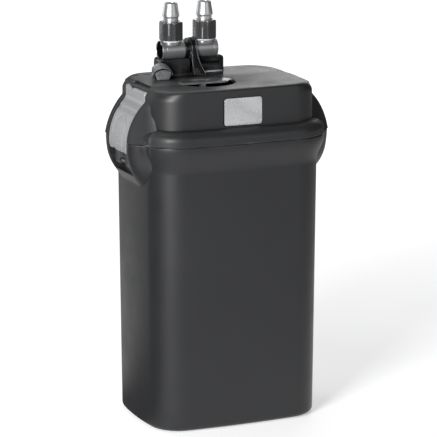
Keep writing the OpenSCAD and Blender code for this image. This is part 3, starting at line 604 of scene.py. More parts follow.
def scooped(row):
    """Rounds the short sides' shoulders, then cuts the clamp's pocket and the finger scoop behind its pad."""
    out = []
    for x, y, z in row:
        if z > SHOULDER_LOW:
            rise = (z - SHOULDER_LOW) / (DECK_Z - SHOULDER_LOW)
            x -= math.copysign(SHOULDER_IN * rise**1.5 * ease((abs(x) - 55) / 40), x)
        depth = SCOOP_R**2 - (z - SCOOP_Z) ** 2
        if abs(y) < CHEEK and POCKET_LOW < z < PAD_TOP + 1.6:
            x = math.copysign(min(abs(x), POCKET_X), x)
        if depth > 0 and abs(y) < SCOOP_HALF + 1.5:
            fade = ease((SCOOP_HALF + 1.5 - abs(y)) / 3.0)
            x = math.copysign(min(abs(x), SCOOP_X - math.sqrt(depth) * fade), x)
        out.append((x, y, z))
    return out


def head_rows():
    inner = [(-INSET - 0.6 - COVER, DECK_UNDER), (-INSET - COVER, CREASE_Z - COVER)]
    inner += [(-INSET - COVER + (COLLAR_OUT + INSET) * math.cos(a), SKIRT_TOP + (BEAD - COVER) * math.sin(a))
              for a in steps(math.pi / 2, 0, 6)[1:]]
    inner += [(COLLAR_OUT - COVER, HEAD_BOTTOM)]
    rows = [plain(d, z) for d, z in inner]
    edge = SKIRT_ROUND
    outside = [(COLLAR_OUT - edge * (1 - math.sin(a)), HEAD_BOTTOM + edge * (1 - math.cos(a)))
               for a in steps(0, math.pi / 2, 3)]
    outside += [(COLLAR_OUT, z) for z in steps(HEAD_BOTTOM + 1.5, SKIRT_TOP, 4)]
    outside += [(-INSET + (COLLAR_OUT + INSET) * math.cos(a), SKIRT_TOP + BEAD * math.sin(a))
                for a in steps(0, math.pi / 2, 18)[1:]]
    wall = steps(CREASE_Z + 0.6, POCKET_LOW - 0.1, 12) + steps(POCKET_LOW + 0.1, PAD_TOP - 0.4, 22)
    wall += [PAD_TOP, DECK_Z - DECK_ROUND]
    outside += [(-INSET - 0.6 * (z - CREASE_Z) / (DECK_Z - CREASE_Z), z) for z in wall]
    outside += [(-INSET - 0.6 - DECK_ROUND * (1 - math.cos(a)), DECK_Z - DECK_ROUND * (1 - math.sin(a)))
                for a in steps(0, math.pi / 2, 8)[1:]]
    rows += [scooped(shaped(d, z, UPPER_FLANKS, 0)) for d, z in outside]
    return rows


def slot_loop(x, y, z, half, r, n=8):
    """An upright slot's outline: two half circles joined by straight sides."""
    ends = [(half + r * math.cos(a), r * math.sin(a)) for a in steps(-math.pi / 2, math.pi / 2, n)]
    return [(x + side * dx, y + side * dy, z) for side in (1, -1) for dx, dy in ends]


def deck_holes():
    """The openings in the deck, each a list of loops from the deck's top to its underside."""
    t = DECK_Z
    under = CUP_FLOOR - 2.5
    lip = [(WELL_R + 0.6, t), (WELL_R + 0.25, t - 0.15), (WELL_R, t - 0.6), (WELL_R, t - 1),
           (WELL_R, CUP_FLOOR + 1), (WELL_R - 0.4, CUP_FLOOR + 0.3), (WELL_R - 1.2, CUP_FLOOR),
           (ROD_HOLE + 0.3, CUP_FLOOR), (ROD_HOLE, CUP_FLOOR - 0.3), (ROD_HOLE, under),
           (WELL_R + 2.5, under), (WELL_R + 2.5, DECK_UNDER)]
    holes = [[circle(HANDLE_X, HANDLE_Y, z, r, 128) for r, z in lip]]
    for x in (LEFT_PORT, RIGHT_PORT):
        socket = [(9.1, t), (8.6, t - 0.5), (8.5, t - 19), (11.5, t - 19.5), (11.5, DECK_UNDER)]
        holes.append([circle(x, VALVE_Y, z, r, 64) for r, z in socket])
    for x in (-80, -65):
        holes.append([slot_loop(x, 53, z, 3, r) for r, z in ((1.5, t), (1.2, t - 0.3), (1.2, t - 1.5))])
    holes.append([slot_loop(LEFT_PORT - 19, VALVE_Y - 23.2, z, 2.4, 2.8, 4) for z in (t, DECK_UNDER)])
    return holes


def build_shell(settings):
    bm = bmesh.new()
    skin(bm, shell_rows(settings.rim_round / MM))
    finish_mesh(bm, "moulded_canister", "canister", "shell_black", "canister_shell")


def build_head():
    bm = bmesh.new()
    rings = loops(bm, head_rows())
    tops, unders = [], []
    for hole in deck_holes():
        made = loops(bm, hole)
        tops.append(made[0])
        if abs(hole[-1][0][2] - DECK_UNDER) < 1e-6:
            unders.append(made[-1])
        else:
            fill(bm, made[-1])
    fill(bm, rings[-1], *tops)
    fill(bm, rings[0], *unders)
    finish_mesh(bm, "moulded_head", "motor_head", "head_black", "head_cover")


# Clamps

CLAMP_LOW = 319.4
STRAP_OUT = EAR_RADIUS - 1.4
STRAP_THICK = 4.4
ARM_Y, ARM_HALF = 15, 3.5
RIB_Y = 12.5
RIB_SPLIT_Z = 350.0
RIB_TOP_Z = 365.0
DIMPLE_Y, DIMPLE_Z, DIMPLE_R = 14.0, 364.0, 1.2
NOTCHES = ((335.5, 1.5), (327.5, 1.7), (321.5, 1.2))


def strap_x(z, inward):
    """How far out the clamp's face lies at height z: a flat pad above, an arc below."""
    r = STRAP_OUT - inward
    arc = EAR_X + math.sqrt(max(r * r - (z - EAR_Z) ** 2, 0.0))
    return smooth_max(PAD_X - inward, arc, 3.0)


def half_width(z):
    width = CLAMP_WIDTH / 2 - sum(depth * bump((z - at) / 1.6) for at, depth in NOTCHES)
    return width + 0.4 * ease((z - 372) / 4)


def clamp_relief(y, z):
    """Height of the clamp's ribs and dimples above its smooth face."""
    y = abs(y)
    rib_y = RIB_Y if z < RIB_SPLIT_Z else RIB_Y * (1 - ease((z - RIB_SPLIT_Z) / (RIB_TOP_Z - RIB_SPLIT_Z)))
    fade = ease((z - CLAMP_LOW - 3) / 4) * (1 - ease((z - RIB_TOP_Z + 1) / 2))
    height = 1.1 * bump((y - rib_y) / 1.6) * fade - 0.7 * bump((y - rib_y - 2.4) / 1.4) * fade
    height += 0.8 * bump((y - 25.6) / 1.3) * ease((z - CLAMP_LOW - 2) / 4) * (1 - ease((z - 358) / 6))
    height -= 0.6 * bump((y - 22.8) / 1.5) * ease((z - CLAMP_LOW - 2) / 4) * (1 - ease((z - 356) / 6))
    height -= 3.2 * bump(math.hypot(y - DIMPLE_Y, z - DIMPLE_Z) / DIMPLE_R / 1.6)
    height -= 0.9 * ease((368.5 - z) / 1.0) * bump((z - 366.5) / 4.5)
    height += 0.35 * bump(math.sin(z * 1.15) * 1.3) * fade * (1 if y < rib_y - 2 else 0.4)
    return height


def clamp_sheet(inward, rows, columns):
    """A grid of points on the clamp's outer (inward 0) or inner face, for the left-hand clamp."""
    grid = []
    for i in range(rows + 1):
        line = []
        for j in range(columns + 1):
            v = 2 * j / columns - 1
            low = CLAMP_LOW + 2.2 * bump((abs(v) - 0.55) / 0.2) + 1.4 * bump((v + 0.1) / 0.12)
            top = PAD_TOP - 0.9 - 2.4 * bump((v - 0.45) / 0.3) + 0.9 * ease((v - 0.72) / 0.1)
            z = top + (low - top) * i / rows
            y = v * half_width(z)
            x = strap_x(z, inward)
            if not inward:
                x -= edge_drop(2.0 if top - z < 3 else 1.5, min(half_width(z) - abs(y), top - z, z - low))
                x += clamp_relief(y, z)
            line.append((-x, y, z))
        grid.append(line)
    return grid


def grid_faces(bm, grid):
    made = [[bm.verts.new(Vector(p) * MM) for p in line] for line in grid]
    for a, b in zip(made, made[1:]):
        for i in range(len(a) - 1):
            bm.faces.new((a[i], a[i + 1], b[i + 1], b[i]))
    return made


def rim_of(made):
    """The vertices round the edge of a grid, in order."""
    sides = [line[-1] for line in made[1:-1]] + made[-1][::-1]
    return made[0] + sides + [line[0] for line in made[1:-1]][::-1]


def slab(outer, inner):
    """A solid between two grids of points of the same size."""
    bm = bmesh.new()
    a, b = [rim_of(made) for made in (grid_faces(bm, outer), grid_faces(bm, inner))]
    for i in range(len(a)):
        j = (i + 1) % len(a)
        bm.faces.new((a[i], a[j], b[j], b[i]))
    return bm


def prism(bm, outline, low, high, bevel=0.6, across=False):
    """A bar with the given XZ outline between two y, or a YZ outline between two x, with its edges broken."""
    ends = [[bm.verts.new(Vector((at, a, z) if across else (a, at, z)) * MM) for a, z in outline]
            for at in (low, high)]
    faces = [bm.faces.new(ends[0]), bm.faces.new(ends[1][::-1])]
    n = len(outline)
    for i in range(n):
        faces.append(bm.faces.new((ends[0][i], ends[1][i], ends[1][(i + 1) % n], ends[0][(i + 1) % n])))
    edges = list(dict.fromkeys(e for f in faces[:2] for e in f.edges))
    bmesh.ops.bevel(bm, geom=edges, offset=bevel * MM, segments=2, profile=0.5, affect="EDGES")


def block(bm, x, y, z, bevel):
    """A box between two x, two y and two z, with its edges broken."""
    prism(bm, [(x[0], z[0]), (x[1], z[0]), (x[1], z[1]), (x[0], z[1])], *y, bevel)


def arm_outline():
    """A clamp's arm, from the strap down round its pin, seen from the front."""
    knuckle = [(-PIN_X + 4.6 * math.cos(a), PIN_Z + 4.6 * math.sin(a)) for a in steps(math.pi, math.tau, 12)]
    return knuckle + [(-PIN_X + 5.4, PIN_Z + 9), (-EAR_REACH + 9, CLAMP_LOW + 7),
                      (-EAR_REACH + 5.2, CLAMP_LOW + 6), (-EAR_REACH + 5.8, CLAMP_LOW - 3)]


def build_clamps():
    for node in ("left_clamp", "right_clamp"):
        bm = slab(clamp_sheet(0.0, 130, 104), clamp_sheet(STRAP_THICK, 130, 104))
        arms = bmesh.new()
        for y in (-ARM_Y, ARM_Y):
            prism(arms, arm_outline(), y - ARM_HALF, y + ARM_HALF)
        if node == "right_clamp":
            for piece in (bm, arms):
                bmesh.ops.scale(piece, vec=(-1, 1, 1), verts=piece.verts)
        finish_mesh(bm, node + "_shell", node + "_body", "clamp_grey", node)
        # The arms are near-black, unlike the grey clamp: painted shade, as they hang in the dark gap under
        # the ear.
        finish_mesh(arms, node + "_arms_painted_shade", node + "_body", "head_black")


# Valve and primer

NUT_LOW = VALVE_Z + 9.7
NUT_TOP = NUT_LOW + 22.2
NUT_CORNER = 13.95
NUT_RISE = 1.0
NUT_GAP = 1.7
FACE_R = NUT_CORNER * math.cos(math.pi / 6)
NUT_TURN = math.radians(27)
TAIL_NECK, TAIL_LAND, TAIL_TIP = 8.5, 9.7, 7.7
BARREL_R = 11.3
CAP_DEPTH = {"left": 8, "right": 0.8}
BARREL_ENDS = {"left": (-58.2, -29.9), "right": (-16.5, 10.6)}
HOUSING_LOW = DECK_Z + 0.4
PLATE_TOP = HOUSING_LOW + 5
BLADE_R = BARREL_R + 3.2
BLADE_FOOT = DECK_Z + 2.4
BLADE_LEFT, BLADE_RIGHT = -23.4, -17.7
HUB_LEFT = -29.6
BADGE_X, BADGE_Y, BADGE_Z = 0.0, -HALF_D + INSET - 0.05, CREASE_Z + 17.5
BADGE_W, BADGE_H, BADGE_ROUND = 46.0, 31.0, 3.0
LATCH_X, LATCH_Y = LEFT_PORT - 19, VALVE_Y - 23.5
LATCH_LOW = DECK_Z + 1.0
WEB_X = -25.5
PLATE_BACK = 31.0


def turn_x(bm, y, z, profile, n=96, close=True):
    """Turns a profile of [x, radius] points about an axis along X, with its far end closed."""
    rows = [[(x, y + r * math.cos(math.tau * i / n), z + r * math.sin(math.tau * i / n)) for i in range(n)]
            for x, r in profile]
    made = loops(bm, rows)
    if close:
        fill(bm, made[0])
    fill(bm, made[-1])


def rounded(points, radius, n=4):
    """A closed or open profile whose inner corners are cut by short arcs of about the given radius."""
    out = [points[0]]
    for a, b, c in zip(points, points[1:], points[2:]):
        a, b, c = Vector(a), Vector(b), Vector(c)
        r = min(radius, (b - a).length * 0.45, (c - b).length * 0.45)
        start, end = b + (a - b).normalized() * r, b + (c - b).normalized() * r
        for t in steps(0, 1, n):
            out.append(tuple(start.lerp(b, t).lerp(b.lerp(end, t), t)))
    return out + [points[-1]]


def build_nut(side, port):
    """A lock nut: six ribbed faces with soft corners, and a pale painted highlight strip on one of them."""
    n = 288
    bm = bmesh.new()
    rows = []
    low, top = NUT_LOW + NUT_GAP, NUT_TOP + NUT_RISE
    heights = [(low, -1.0), (low + 0.4, -0.4), (low + 1.1, 0)]
    heights += [(z, 0) for z in steps(low + 2, top - 2, 24)]
    heights += [(top - 1.1, -0.2), (top - 0.4, -0.8), (top, -1.6)]
    rib_low, rib_high = (top - 15, top - 1) if side == "left" else (low + 1, low + 12.5)
    for z, inward in heights:
        row = []
        rib = ease((z - rib_low) / 2.5) * (1 - ease((z - rib_high + 1) / 2))
        for i in range(n):
            a = math.tau * i / n
            corner = (a + math.pi / 6) % (math.pi / 3) - math.pi / 6
            across = (math.pi / 6 - abs(corner)) * NUT_CORNER
            r = min(FACE_R / math.cos(math.pi / 6 - abs(corner)), NUT_CORNER - 0.35)
            r += 0.1 * rib * bump(across / 1.2)
            r += 0.12 * math.sin(across * 3.1) * ease((abs(across) - 1.6) / 1.0)
            r = min(r, NUT_CORNER - 0.1 + inward * 1.1)
            row.append((port + r * math.cos(a + NUT_TURN), VALVE_Y + r * math.sin(a + NUT_TURN), z))
        rows.append(row)
    rows.append(circle(port, VALVE_Y, top, 10.4, n))
    for r, z in ((9.4, top - 0.6), (TAIL_NECK + 0.4, top - 0.8), (TAIL_NECK + 0.3, top - 6)):
        rows.append(circle(port, VALVE_Y, z, r, n))
    skin(bm, rows)
    # A pale strip on one face: a painted highlight standing for the glint on the nut.
    glint_strip = bmesh.new()
    turned = Matrix.Rotation(math.radians(210) + NUT_TURN, 4, "Z")
    inner, outer = FACE_R - 0.4, FACE_R + 0.4
    strip = [(inner, rib_low), (outer, rib_low), (outer, rib_high - 0.6), (inner, rib_high)]
    prism(glint_strip, strip, -0.6, 0.6, 0.15)
    moved = Matrix.Translation(Vector((port, VALVE_Y, 0)) * MM) @ turned
    bmesh.ops.transform(glint_strip, matrix=moved, verts=glint_strip.verts)
    finish_mesh(glint_strip, side + "_nut_glint", side + "_nut", "barrel_grey")
    finish_mesh(bm, side + "_hex_nut", side + "_nut", "nut_grey", side + "_lock_nut", sharp=25)


def build_tail(side, port):
    """A hose tail with its land and taper, and a near-black liner that paints the shade in its bore."""
    bm = bmesh.new()
    land = NUT_TOP + 6.6
    tip = NUT_TOP + 22.3
    outer = [(TAIL_NECK, NUT_LOW + 9), (TAIL_NECK, land - 0.9), (TAIL_LAND - 0.2, land),
             (TAIL_LAND, land + 0.5), (TAIL_LAND, land + 2.4), (TAIL_TIP + 0.5, land + 11),
             (TAIL_TIP, tip - 0.8), (TAIL_TIP - 0.5, tip), (6.5, tip), (6.2, tip - 0.5), (6.2, tip - 3.3)]
    revolve(bm, port, VALVE_Y, rounded(outer, 0.7))
    finish_mesh(bm, side + "_tail", "valve_unit", "tail_grey", side + "_hose_tail", sharp=50)
    # The liner is painted shade: it darkens the inside of the bore.
    bore = bmesh.new()
    hollow = [(6.25, tip - 0.9), (6.1, tip - 1.3), (5.6, NUT_LOW + 9)]
    revolve(bore, port, VALVE_Y, hollow, 64, close=False)
    finish_mesh(bore, side + "_tail_bore_shade", "valve_unit", "valve_black", finish="shadow_plastic")


def build_barrel(side, port):
    """A barrel with its tower and stem, and a near-black cap of painted shade in its open end."""
    near, free = BARREL_ENDS[side][::-1] if side == "left" else BARREL_ENDS[side]

    def along(profile):
        """Turns [distance in from the free end, radius] into [x, radius]."""
        return [(free + (d if side == "left" else -d), r) for d, r in profile]

    bm = bmesh.new()
    length = abs(near - free)
    profile = along([(10, 9.9), (9.8, 10.2), (0.7, 10.3), (0, 10.75), (0, BARREL_R - 0.3), (0.5, BARREL_R),
                     (5.2, BARREL_R), (5.5, BARREL_R - 0.25), (5.8, BARREL_R), (length - 0.5, BARREL_R),
                     (length, BARREL_R - 0.5), (length, 8.5)])
    turn_x(bm, VALVE_Y, VALVE_Z, rounded(profile, 0.35, 3))
    tower = [(5.6, VALVE_Z + 6), (12.2, VALVE_Z + 6), (12.2, VALVE_Z + 9.2), (11.7, VALVE_Z + 9.7),
             (9.6, VALVE_Z + 9.7), (9.6, NUT_LOW + 8), (8.0, NUT_LOW + 8.6)]
    revolve(bm, port, VALVE_Y, rounded(tower, 0.3, 3))
    revolve(bm, port, VALVE_Y, [(3.4, DECK_Z + 5.8), (3.4, VALVE_Z - 6)], 32)
    finish_mesh(bm, side + "_valve_barrel", "valve_unit", "barrel_grey", side + "_barrel", sharp=40)
    # The cap paints the shade seen in the barrel's open end.
    cap = bmesh.new()
    depth = CAP_DEPTH[side]
    turn_x(cap, VALVE_Y, VALVE_Z, along([(0.75, 10.25), (0.8, 10.1), (depth, 10.0), (depth + 0.1, 7.6),
                                         (depth + 1.0, 7.2), (depth + 1.0, 3.0), (depth, 2.6), (depth, 0.6)]),
           close=False)
    finish_mesh(cap, side + "_barrel_shade_cap", "valve_unit", "valve_black", finish="shadow_plastic")


def build_washers():
    bm = bmesh.new()
    low, high = VALVE_Z + 9.8, VALVE_Z + 11.2
    for x in (LEFT_PORT, RIGHT_PORT):
        revolve(bm, x, VALVE_Y, rounded([(9.7, low), (11.7, low), (11.7, high), (9.7, high)], 0.3, 3))
    finish_mesh(bm, "valve_washers", "valve_unit", "white_plastic", "nozzle_washers")


def build_cores():
    """The two turning plugs inside the barrels, on the lever's axle, near-black as painted shade."""
    bm = bmesh.new()
    for side, before, after in (("left", 9, 1), ("right", 1, 3)):
        x0, x1 = BARREL_ENDS[side][0] + before, BARREL_ENDS[side][1] - after
        plug = [(x0, 0.6), (x0, 8.9), (x0 + 0.6, 9.4), (x1 - 0.6, 9.4), (x1, 8.9), (x1, 0.6)]
        turn_x(bm, VALVE_Y, VALVE_Z, rounded(plug, 0.3, 2), 64)
    finish_mesh(bm, "valve_cores", "lever", "valve_black", "valve_rotors", finish="shadow_plastic")


def arch(width, height, r_top, z0, foot):
    """An arch seen from the front: narrower at the foot, with a low round top."""
    half = width / 2
    rise = math.sqrt(r_top**2 - half**2)
    turn = math.asin(half / r_top)
    top = [(r_top * math.sin(a), z0 + height - r_top + r_top * math.cos(a)) for a in steps(turn, -turn, 16)]
    shoulder = z0 + height - r_top + rise
    return [(foot, z0), (half, shoulder - 3), *top, (-half, shoulder - 3), (-foot, z0)]


def build_latch():
    """The thumb latch: a hooded grip that slopes back to the housing, over a faceted thumb face."""
    bm = bmesh.new()
    hood = []
    for y, width, height, foot in ((0.2, 23.0, 12.6, 8.2), (-0.5, 23.8, 13.3, 8.6), (-0.2, 24.0, 13.8, 8.8),
                                   (0.6, 24.0, 14.3, 8.9), (3.0, 23.4, 16.0, 8.9), (6.0, 22.0, 17.8, 8.7),
                                   (7.4, 20.6, 18.2, 8.4), (8.0, 19.0, 17.4, 8.0)):
        hood.append([(LATCH_X - 1.0 + x, LATCH_Y + y, z)
                     for x, z in arch(width, height - 6.4, 15.4, LATCH_LOW + 6.4, foot + 2.4)])
    skin(bm, hood)
    face = []
    for y, grow in ((1.0, 1.0), (-0.5, 1.0), (-0.8, 0.97), (-1.5, 0.74), (-1.6, 0.7)):
        face.append([(LATCH_X - 0.5 + x * grow, LATCH_Y + y, LATCH_LOW + 5.4 + (z - LATCH_LOW - 5.4) * grow)
                     for x, z in arch(19.2, 11.3, 17.0, LATCH_LOW + 0.2, 7.4)])
    skin(bm, face)
    prism(bm, [(LATCH_X - 7, LATCH_LOW), (LATCH_X + 7, LATCH_LOW), (LATCH_X + 8, LATCH_LOW + 8),
               (LATCH_X - 8, LATCH_LOW + 8)], LATCH_Y + 0.6, LATCH_Y + 5, 0.4)
    finish_mesh(bm, "thumb_latch", "latch", "clamp_grey", "valve_latch", finish="latch_plastic", sharp=20)
    # A near-black arch between the hood and the thumb face: painted shade in the groove between them.
    line = bmesh.new()
    arc = arch(20.6, 12.1, 16.0, LATCH_LOW + 0.4, 8.2)
    rows = [[(LATCH_X - 0.5 + x, LATCH_Y + y, z) for x, z in arc] for y in (1.0, -0.62)]
    fill(line, loops(line, rows)[-1])
    finish_mesh(line, "latch_gap_shade", "latch", "valve_black", finish="shadow_plastic")


def inset(points, d):
    """A plan outline, given anticlockwise, drawn in by d."""
    out = []
    for before, here, after in zip(points[-1:] + points, points, points[1:] + points[:1]):
        along = (Vector(after) - Vector(before)).normalized()
        out.append((here[0] - along.y * d, here[1] + along.x * d))
    return out


def build_primer():
    """The primer's handle: a plate over a cup of painted shade, open in front of its bar and in a lens behind
    it.
    """
    top = DECK_Z + 0.5
    radius = WELL_R - 0.35
    # The cup is painted shade: it makes the openings round the plate read black.
    cup = bmesh.new()
    bowl = [(radius - 1, top - 3), (radius - 1, top - 8.4), (3.0, top - 8.6)]
    revolve(cup, HANDLE_X, HANDLE_Y, bowl, close=False)
    boss = [(2.6, top - 9.4), (3.2, top - 9.4), (3.2, top - 8.4), (2.6, top - 8.2)]
    revolve(cup, HANDLE_X, HANDLE_Y, boss, 32)
    finish_mesh(cup, "primer_shade_cup", "primer", "head_black", finish="shadow_plastic")
    arc = [(radius * math.cos(a), min(radius * math.sin(a), PLATE_BACK))
           for a in steps(0.02, math.pi + 0.17, 70)]
    front = [(x, -5.6 - 2.0 * ease((x + 32) / 56)) for x in steps(-radius + 1.4, 21.5, 30)]
    plan = arc + front + [(23.5, -7.0), (25.2, -5.2), (26.6, -2.8), (28.6, -0.6)]
    lens = [(x, 10.3 - 3.4 * t) for t, x in zip(steps(0.06, 0.94, 20), steps(-18.0, 8.4, 20))]
    lens += [(x, 10.3 - 3.4 * t + 6.2 * math.sin(math.pi * t) ** 0.7)
             for t, x in zip(steps(0.97, 0.03, 24), steps(9.6, -19.2, 24))]
    bm = bmesh.new()
    ends = []
    for shape, sign in ((plan, 1), (lens, -1)):
        rows = []
        for sink, draw in ((1.7, 0.3), (0.8, 0.0), (0.5, 0.08), (0.2, 0.3), (0.0, 0.8)):
            rows.append([(HANDLE_X + x, HANDLE_Y + y, top - sink) for x, y in inset(shape, sign * draw)])
        made = loops(bm, rows)
        ends.append((made[0], made[-1]))
    fill(bm, ends[0][0], ends[1][0])
    fill(bm, ends[0][1], ends[1][1])
    block(bm, (WEB_X - 2.6, WEB_X + 2.6), (HANDLE_Y - 5.9, HANDLE_Y + 3), (top - 8, top - 1), 0.5)
    finish_mesh(bm, "primer_plate", "primer", "head_black", "primer_handle", finish="primer_plastic")


def build_housing():
    """The valve's black housing: plates, saddle, cheeks, the drum under the right barrel, and stems."""
    bm = bmesh.new()
    low, top, back = HOUSING_LOW, PLATE_TOP, VALVE_Y + 15.8
    block(bm, (-68.8, -20), (VALVE_Y - 13.8, VALVE_Y - 9), (low, top), 0.8)
    block(bm, (-61, -20), (VALVE_Y - 10, back), (low, top), 0.8)
    block(bm, (-27, 17.3), (VALVE_Y - 10.7, back), (low, top), 1.1)
    saddle = [(-61.0, top - 1), (-60.6, 412.5), (-59.8, 415.6), (-57.6, 416.8), (-28.0, 416.8),
              (-26.2, 415.8), (-25.4, 413.5), (-25.0, top - 1)]
    prism(bm, saddle, VALVE_Y - 13.2, VALVE_Y + 13, 1.3)
    prism(bm, [(-68.9, low), (-64.4, low), (-63.9, 410.5), (-65.2, 414.6), (-66.4, 415.8), (-67.6, 414.4),
               (-68.4, 410.0)], VALVE_Y - 13.4, VALVE_Y - 9.4, 0.9)
    block(bm, (-66, -58), (VALVE_Y - 13.0, VALVE_Y - 9.4), (low, 410), 0.9)
    prism(bm, [(12.4, low), (17.4, low), (17.4, 413.6), (16.8, 416.2), (15.4, 417.1), (13.8, 416.9),
               (12.8, 415.4)], VALVE_Y - 10.4, VALVE_Y + 12, 1.0)
    front = [(VALVE_Y - 10.0, top - 0.4)]
    front += [(VALVE_Y - 9.6 + 2.4 * math.sin(math.pi * t), top + 0.6 + 15.4 * t)
              for t in steps(0.02, 0.98, 30)]
    front += [(VALVE_Y - 6.5, 417.2), (VALVE_Y + 12, 417.2), (VALVE_Y + 12, top - 0.4)]
    prism(bm, front, -22.0, 13.2, 0.3, across=True)
    block(bm, (-44, 16.4), (VALVE_Y + 10, back), (top - 1, 412), 0.8)
    for x in (LATCH_X - 6.5, LATCH_X + 6.5):
        block(bm, (x - 1.8, x + 1.8), (VALVE_Y - 19, VALVE_Y - 13), (low + 2, low + 9.4), 0.5)
    for x in (LEFT_PORT, RIGHT_PORT):
        revolve(bm, x, VALVE_Y, rounded([(5.4, DECK_Z - 16.4), (8.1, DECK_Z - 16.4), (8.3, DECK_Z - 15.6),
                                         (8.3, DECK_Z - 12), (7.5, DECK_Z - 11.6), (7.5, DECK_Z - 8.8),
                                         (8.3, DECK_Z - 8.4), (8.3, low + 1)], 0.3, 3), 64)
    # A paler strip along the front plate's top edge: a painted highlight on the sill.
    sill = bmesh.new()
    prism(sill, [(VALVE_Y - 10.9, top - 1.3), (VALVE_Y - 10.6, top + 0.1), (VALVE_Y - 9.6, top + 0.5),
                 (VALVE_Y - 9.2, top - 1.3)], -14.5, 16.0, 0.3, across=True)
    finish_mesh(sill, "valve_sill_highlight", "valve_unit", "valve_black", finish="latch_plastic")
    finish_mesh(bm, "valve_body", "valve_unit", "valve_black", "valve_housing", sharp=32)


def blade_row(t):
    """Where the lever's blade lies at t, from 0 at its top to 1 at its foot: y, z, left and right x."""
    wrap = math.radians(78)
    arc, drop = BLADE_R * wrap, VALVE_Z - BLADE_FOOT
    along = t * (arc + drop)
    if along < arc:
        a = wrap - along / BLADE_R
        y, z = VALVE_Y - BLADE_R * math.cos(a), VALVE_Z + BLADE_R * math.sin(a)
    else:
        y, z = VALVE_Y - BLADE_R - 0.6 * ease((along - arc - drop + 9) / 9), VALVE_Z - (along - arc)
    sweep = max(0.0, (VALVE_Z + 2 - z) / (VALVE_Z + 2 - BLADE_FOOT))
    return y, z, BLADE_LEFT + 2.5 * sweep**2, BLADE_RIGHT + 11.4 * sweep**1.7


def build_lever():
    """The flow lever: a hub between the barrels and a blade that widens towards its foot."""
    grids = []
    rows, columns = 90, 36
    for inward in (0.0, 2.2):
        grid = []
        for i in range(rows + 1):
            y, z, left, right = blade_row(i / rows)
            away_y, away_z = (y - VALVE_Y, max(z - VALVE_Z, 0.0))
            size = math.hypot(away_y, away_z)
            line = []
            for j in range(columns + 1):
                x = left + (right - left) * j / columns
                rim = min(x - left, right - x)
                out = -inward
                if not inward:
                    out += 0.7 * bump((right - x - 0.7) / 0.8) - 0.5 * bump((right - x - 3.4) / 2.6)
                    out -= 0.5 * bump(rim / 0.6)
                line.append((x, y + away_y / size * out, z + away_z / size * out))
            grid.append(line)
        grids.append(grid)
    bm = slab(*grids)
    hub = [(HUB_LEFT, 4.8), (HUB_LEFT, 10.4), (HUB_LEFT + 0.6, 10.9), (BLADE_LEFT - 1.6, 10.9),
           (BLADE_LEFT - 1.2, 12.6), (BLADE_RIGHT - 0.4, 12.8), (BLADE_RIGHT, 12.4), (BLADE_RIGHT, 4.8)]
    turn_x(bm, VALVE_Y, VALVE_Z, rounded(hub, 0.3, 3))
    # A pale tube along the blade's right edge: a painted highlight on that edge.
    lip = bmesh.new()
    rings = []
    for t in steps(0.12, 0.985, 70):
        y, z, _, right = blade_row(t)
        away = Vector((0, y - VALVE_Y, max(z - VALVE_Z, 0.0))).normalized()
        at = Vector((right - 0.35, y, z)) + away * 0.15
        rings.append([at + Vector((0.55 * math.cos(a), 0, 0)) + away * (0.5 * math.sin(a))
                      for a in steps(0, math.tau, 12)[:-1]])
    skin(lip, rings)
    finish_mesh(lip, "lever_edge_highlight", "lever", "barrel_grey")
    finish_mesh(bm, "lever_blade", "lever", "valve_black", "flow_lever", finish="lever_plastic")


def build_badge():
    """The badge: a thin foil plate with soft corners, and the dark seat that it lies in."""
    for grow, front, back, round_by, name, slot, finish, replaced in (
        (0.9, 0.15, 1.5, BADGE_ROUND + 0.9, "badge_seat", "head_black", "valve_plastic", ()),
        (0.0, 0.45, 0.6, BADGE_ROUND, "badge_foil", "badge_silver", None, ("badge_plate",)),
    ):
        w, h = BADGE_W / 2 + grow - round_by, BADGE_H / 2 + grow - round_by
        shape = [(BADGE_X + sx * w + round_by * math.cos(a), BADGE_Z + sz * h + round_by * math.sin(a))
                 for sx, sz, start in ((1, 1, 0.0), (-1, 1, 0.5), (-1, -1, 1.0), (1, -1, 1.5))
                 for a in steps(start * math.pi, (start + 0.5) * math.pi, 6)]
        bm = bmesh.new()
        prism(bm, shape, BADGE_Y - front, BADGE_Y + back, 0.15)
        finish_mesh(bm, name, "motor_head", slot, *replaced, finish=finish)


# Stage

MIDDLE = (0, 0, 0.22)


def put(thing, where, direction):
    """Links a lamp or camera to the scene at a place, looking along a direction."""
    bpy.context.scene.collection.objects.link(thing)
    thing.location = where
    thing.rotation_mode = "QUATERNION"
    thing.rotation_quaternion = direction.to_track_quat("-Z", "Y")


def area_light(name, where, size, power):
    """A rectangular soft light aimed at the middle of the part."""
    lamp = bpy.data.lights.new(name, "AREA")
    lamp.shape = "RECTANGLE"
    lamp.size, lamp.size_y = size
    lamp.energy = power
    put(bpy.data.objects.new(name, lamp), where, Vector(MIDDLE) - Vector(where))


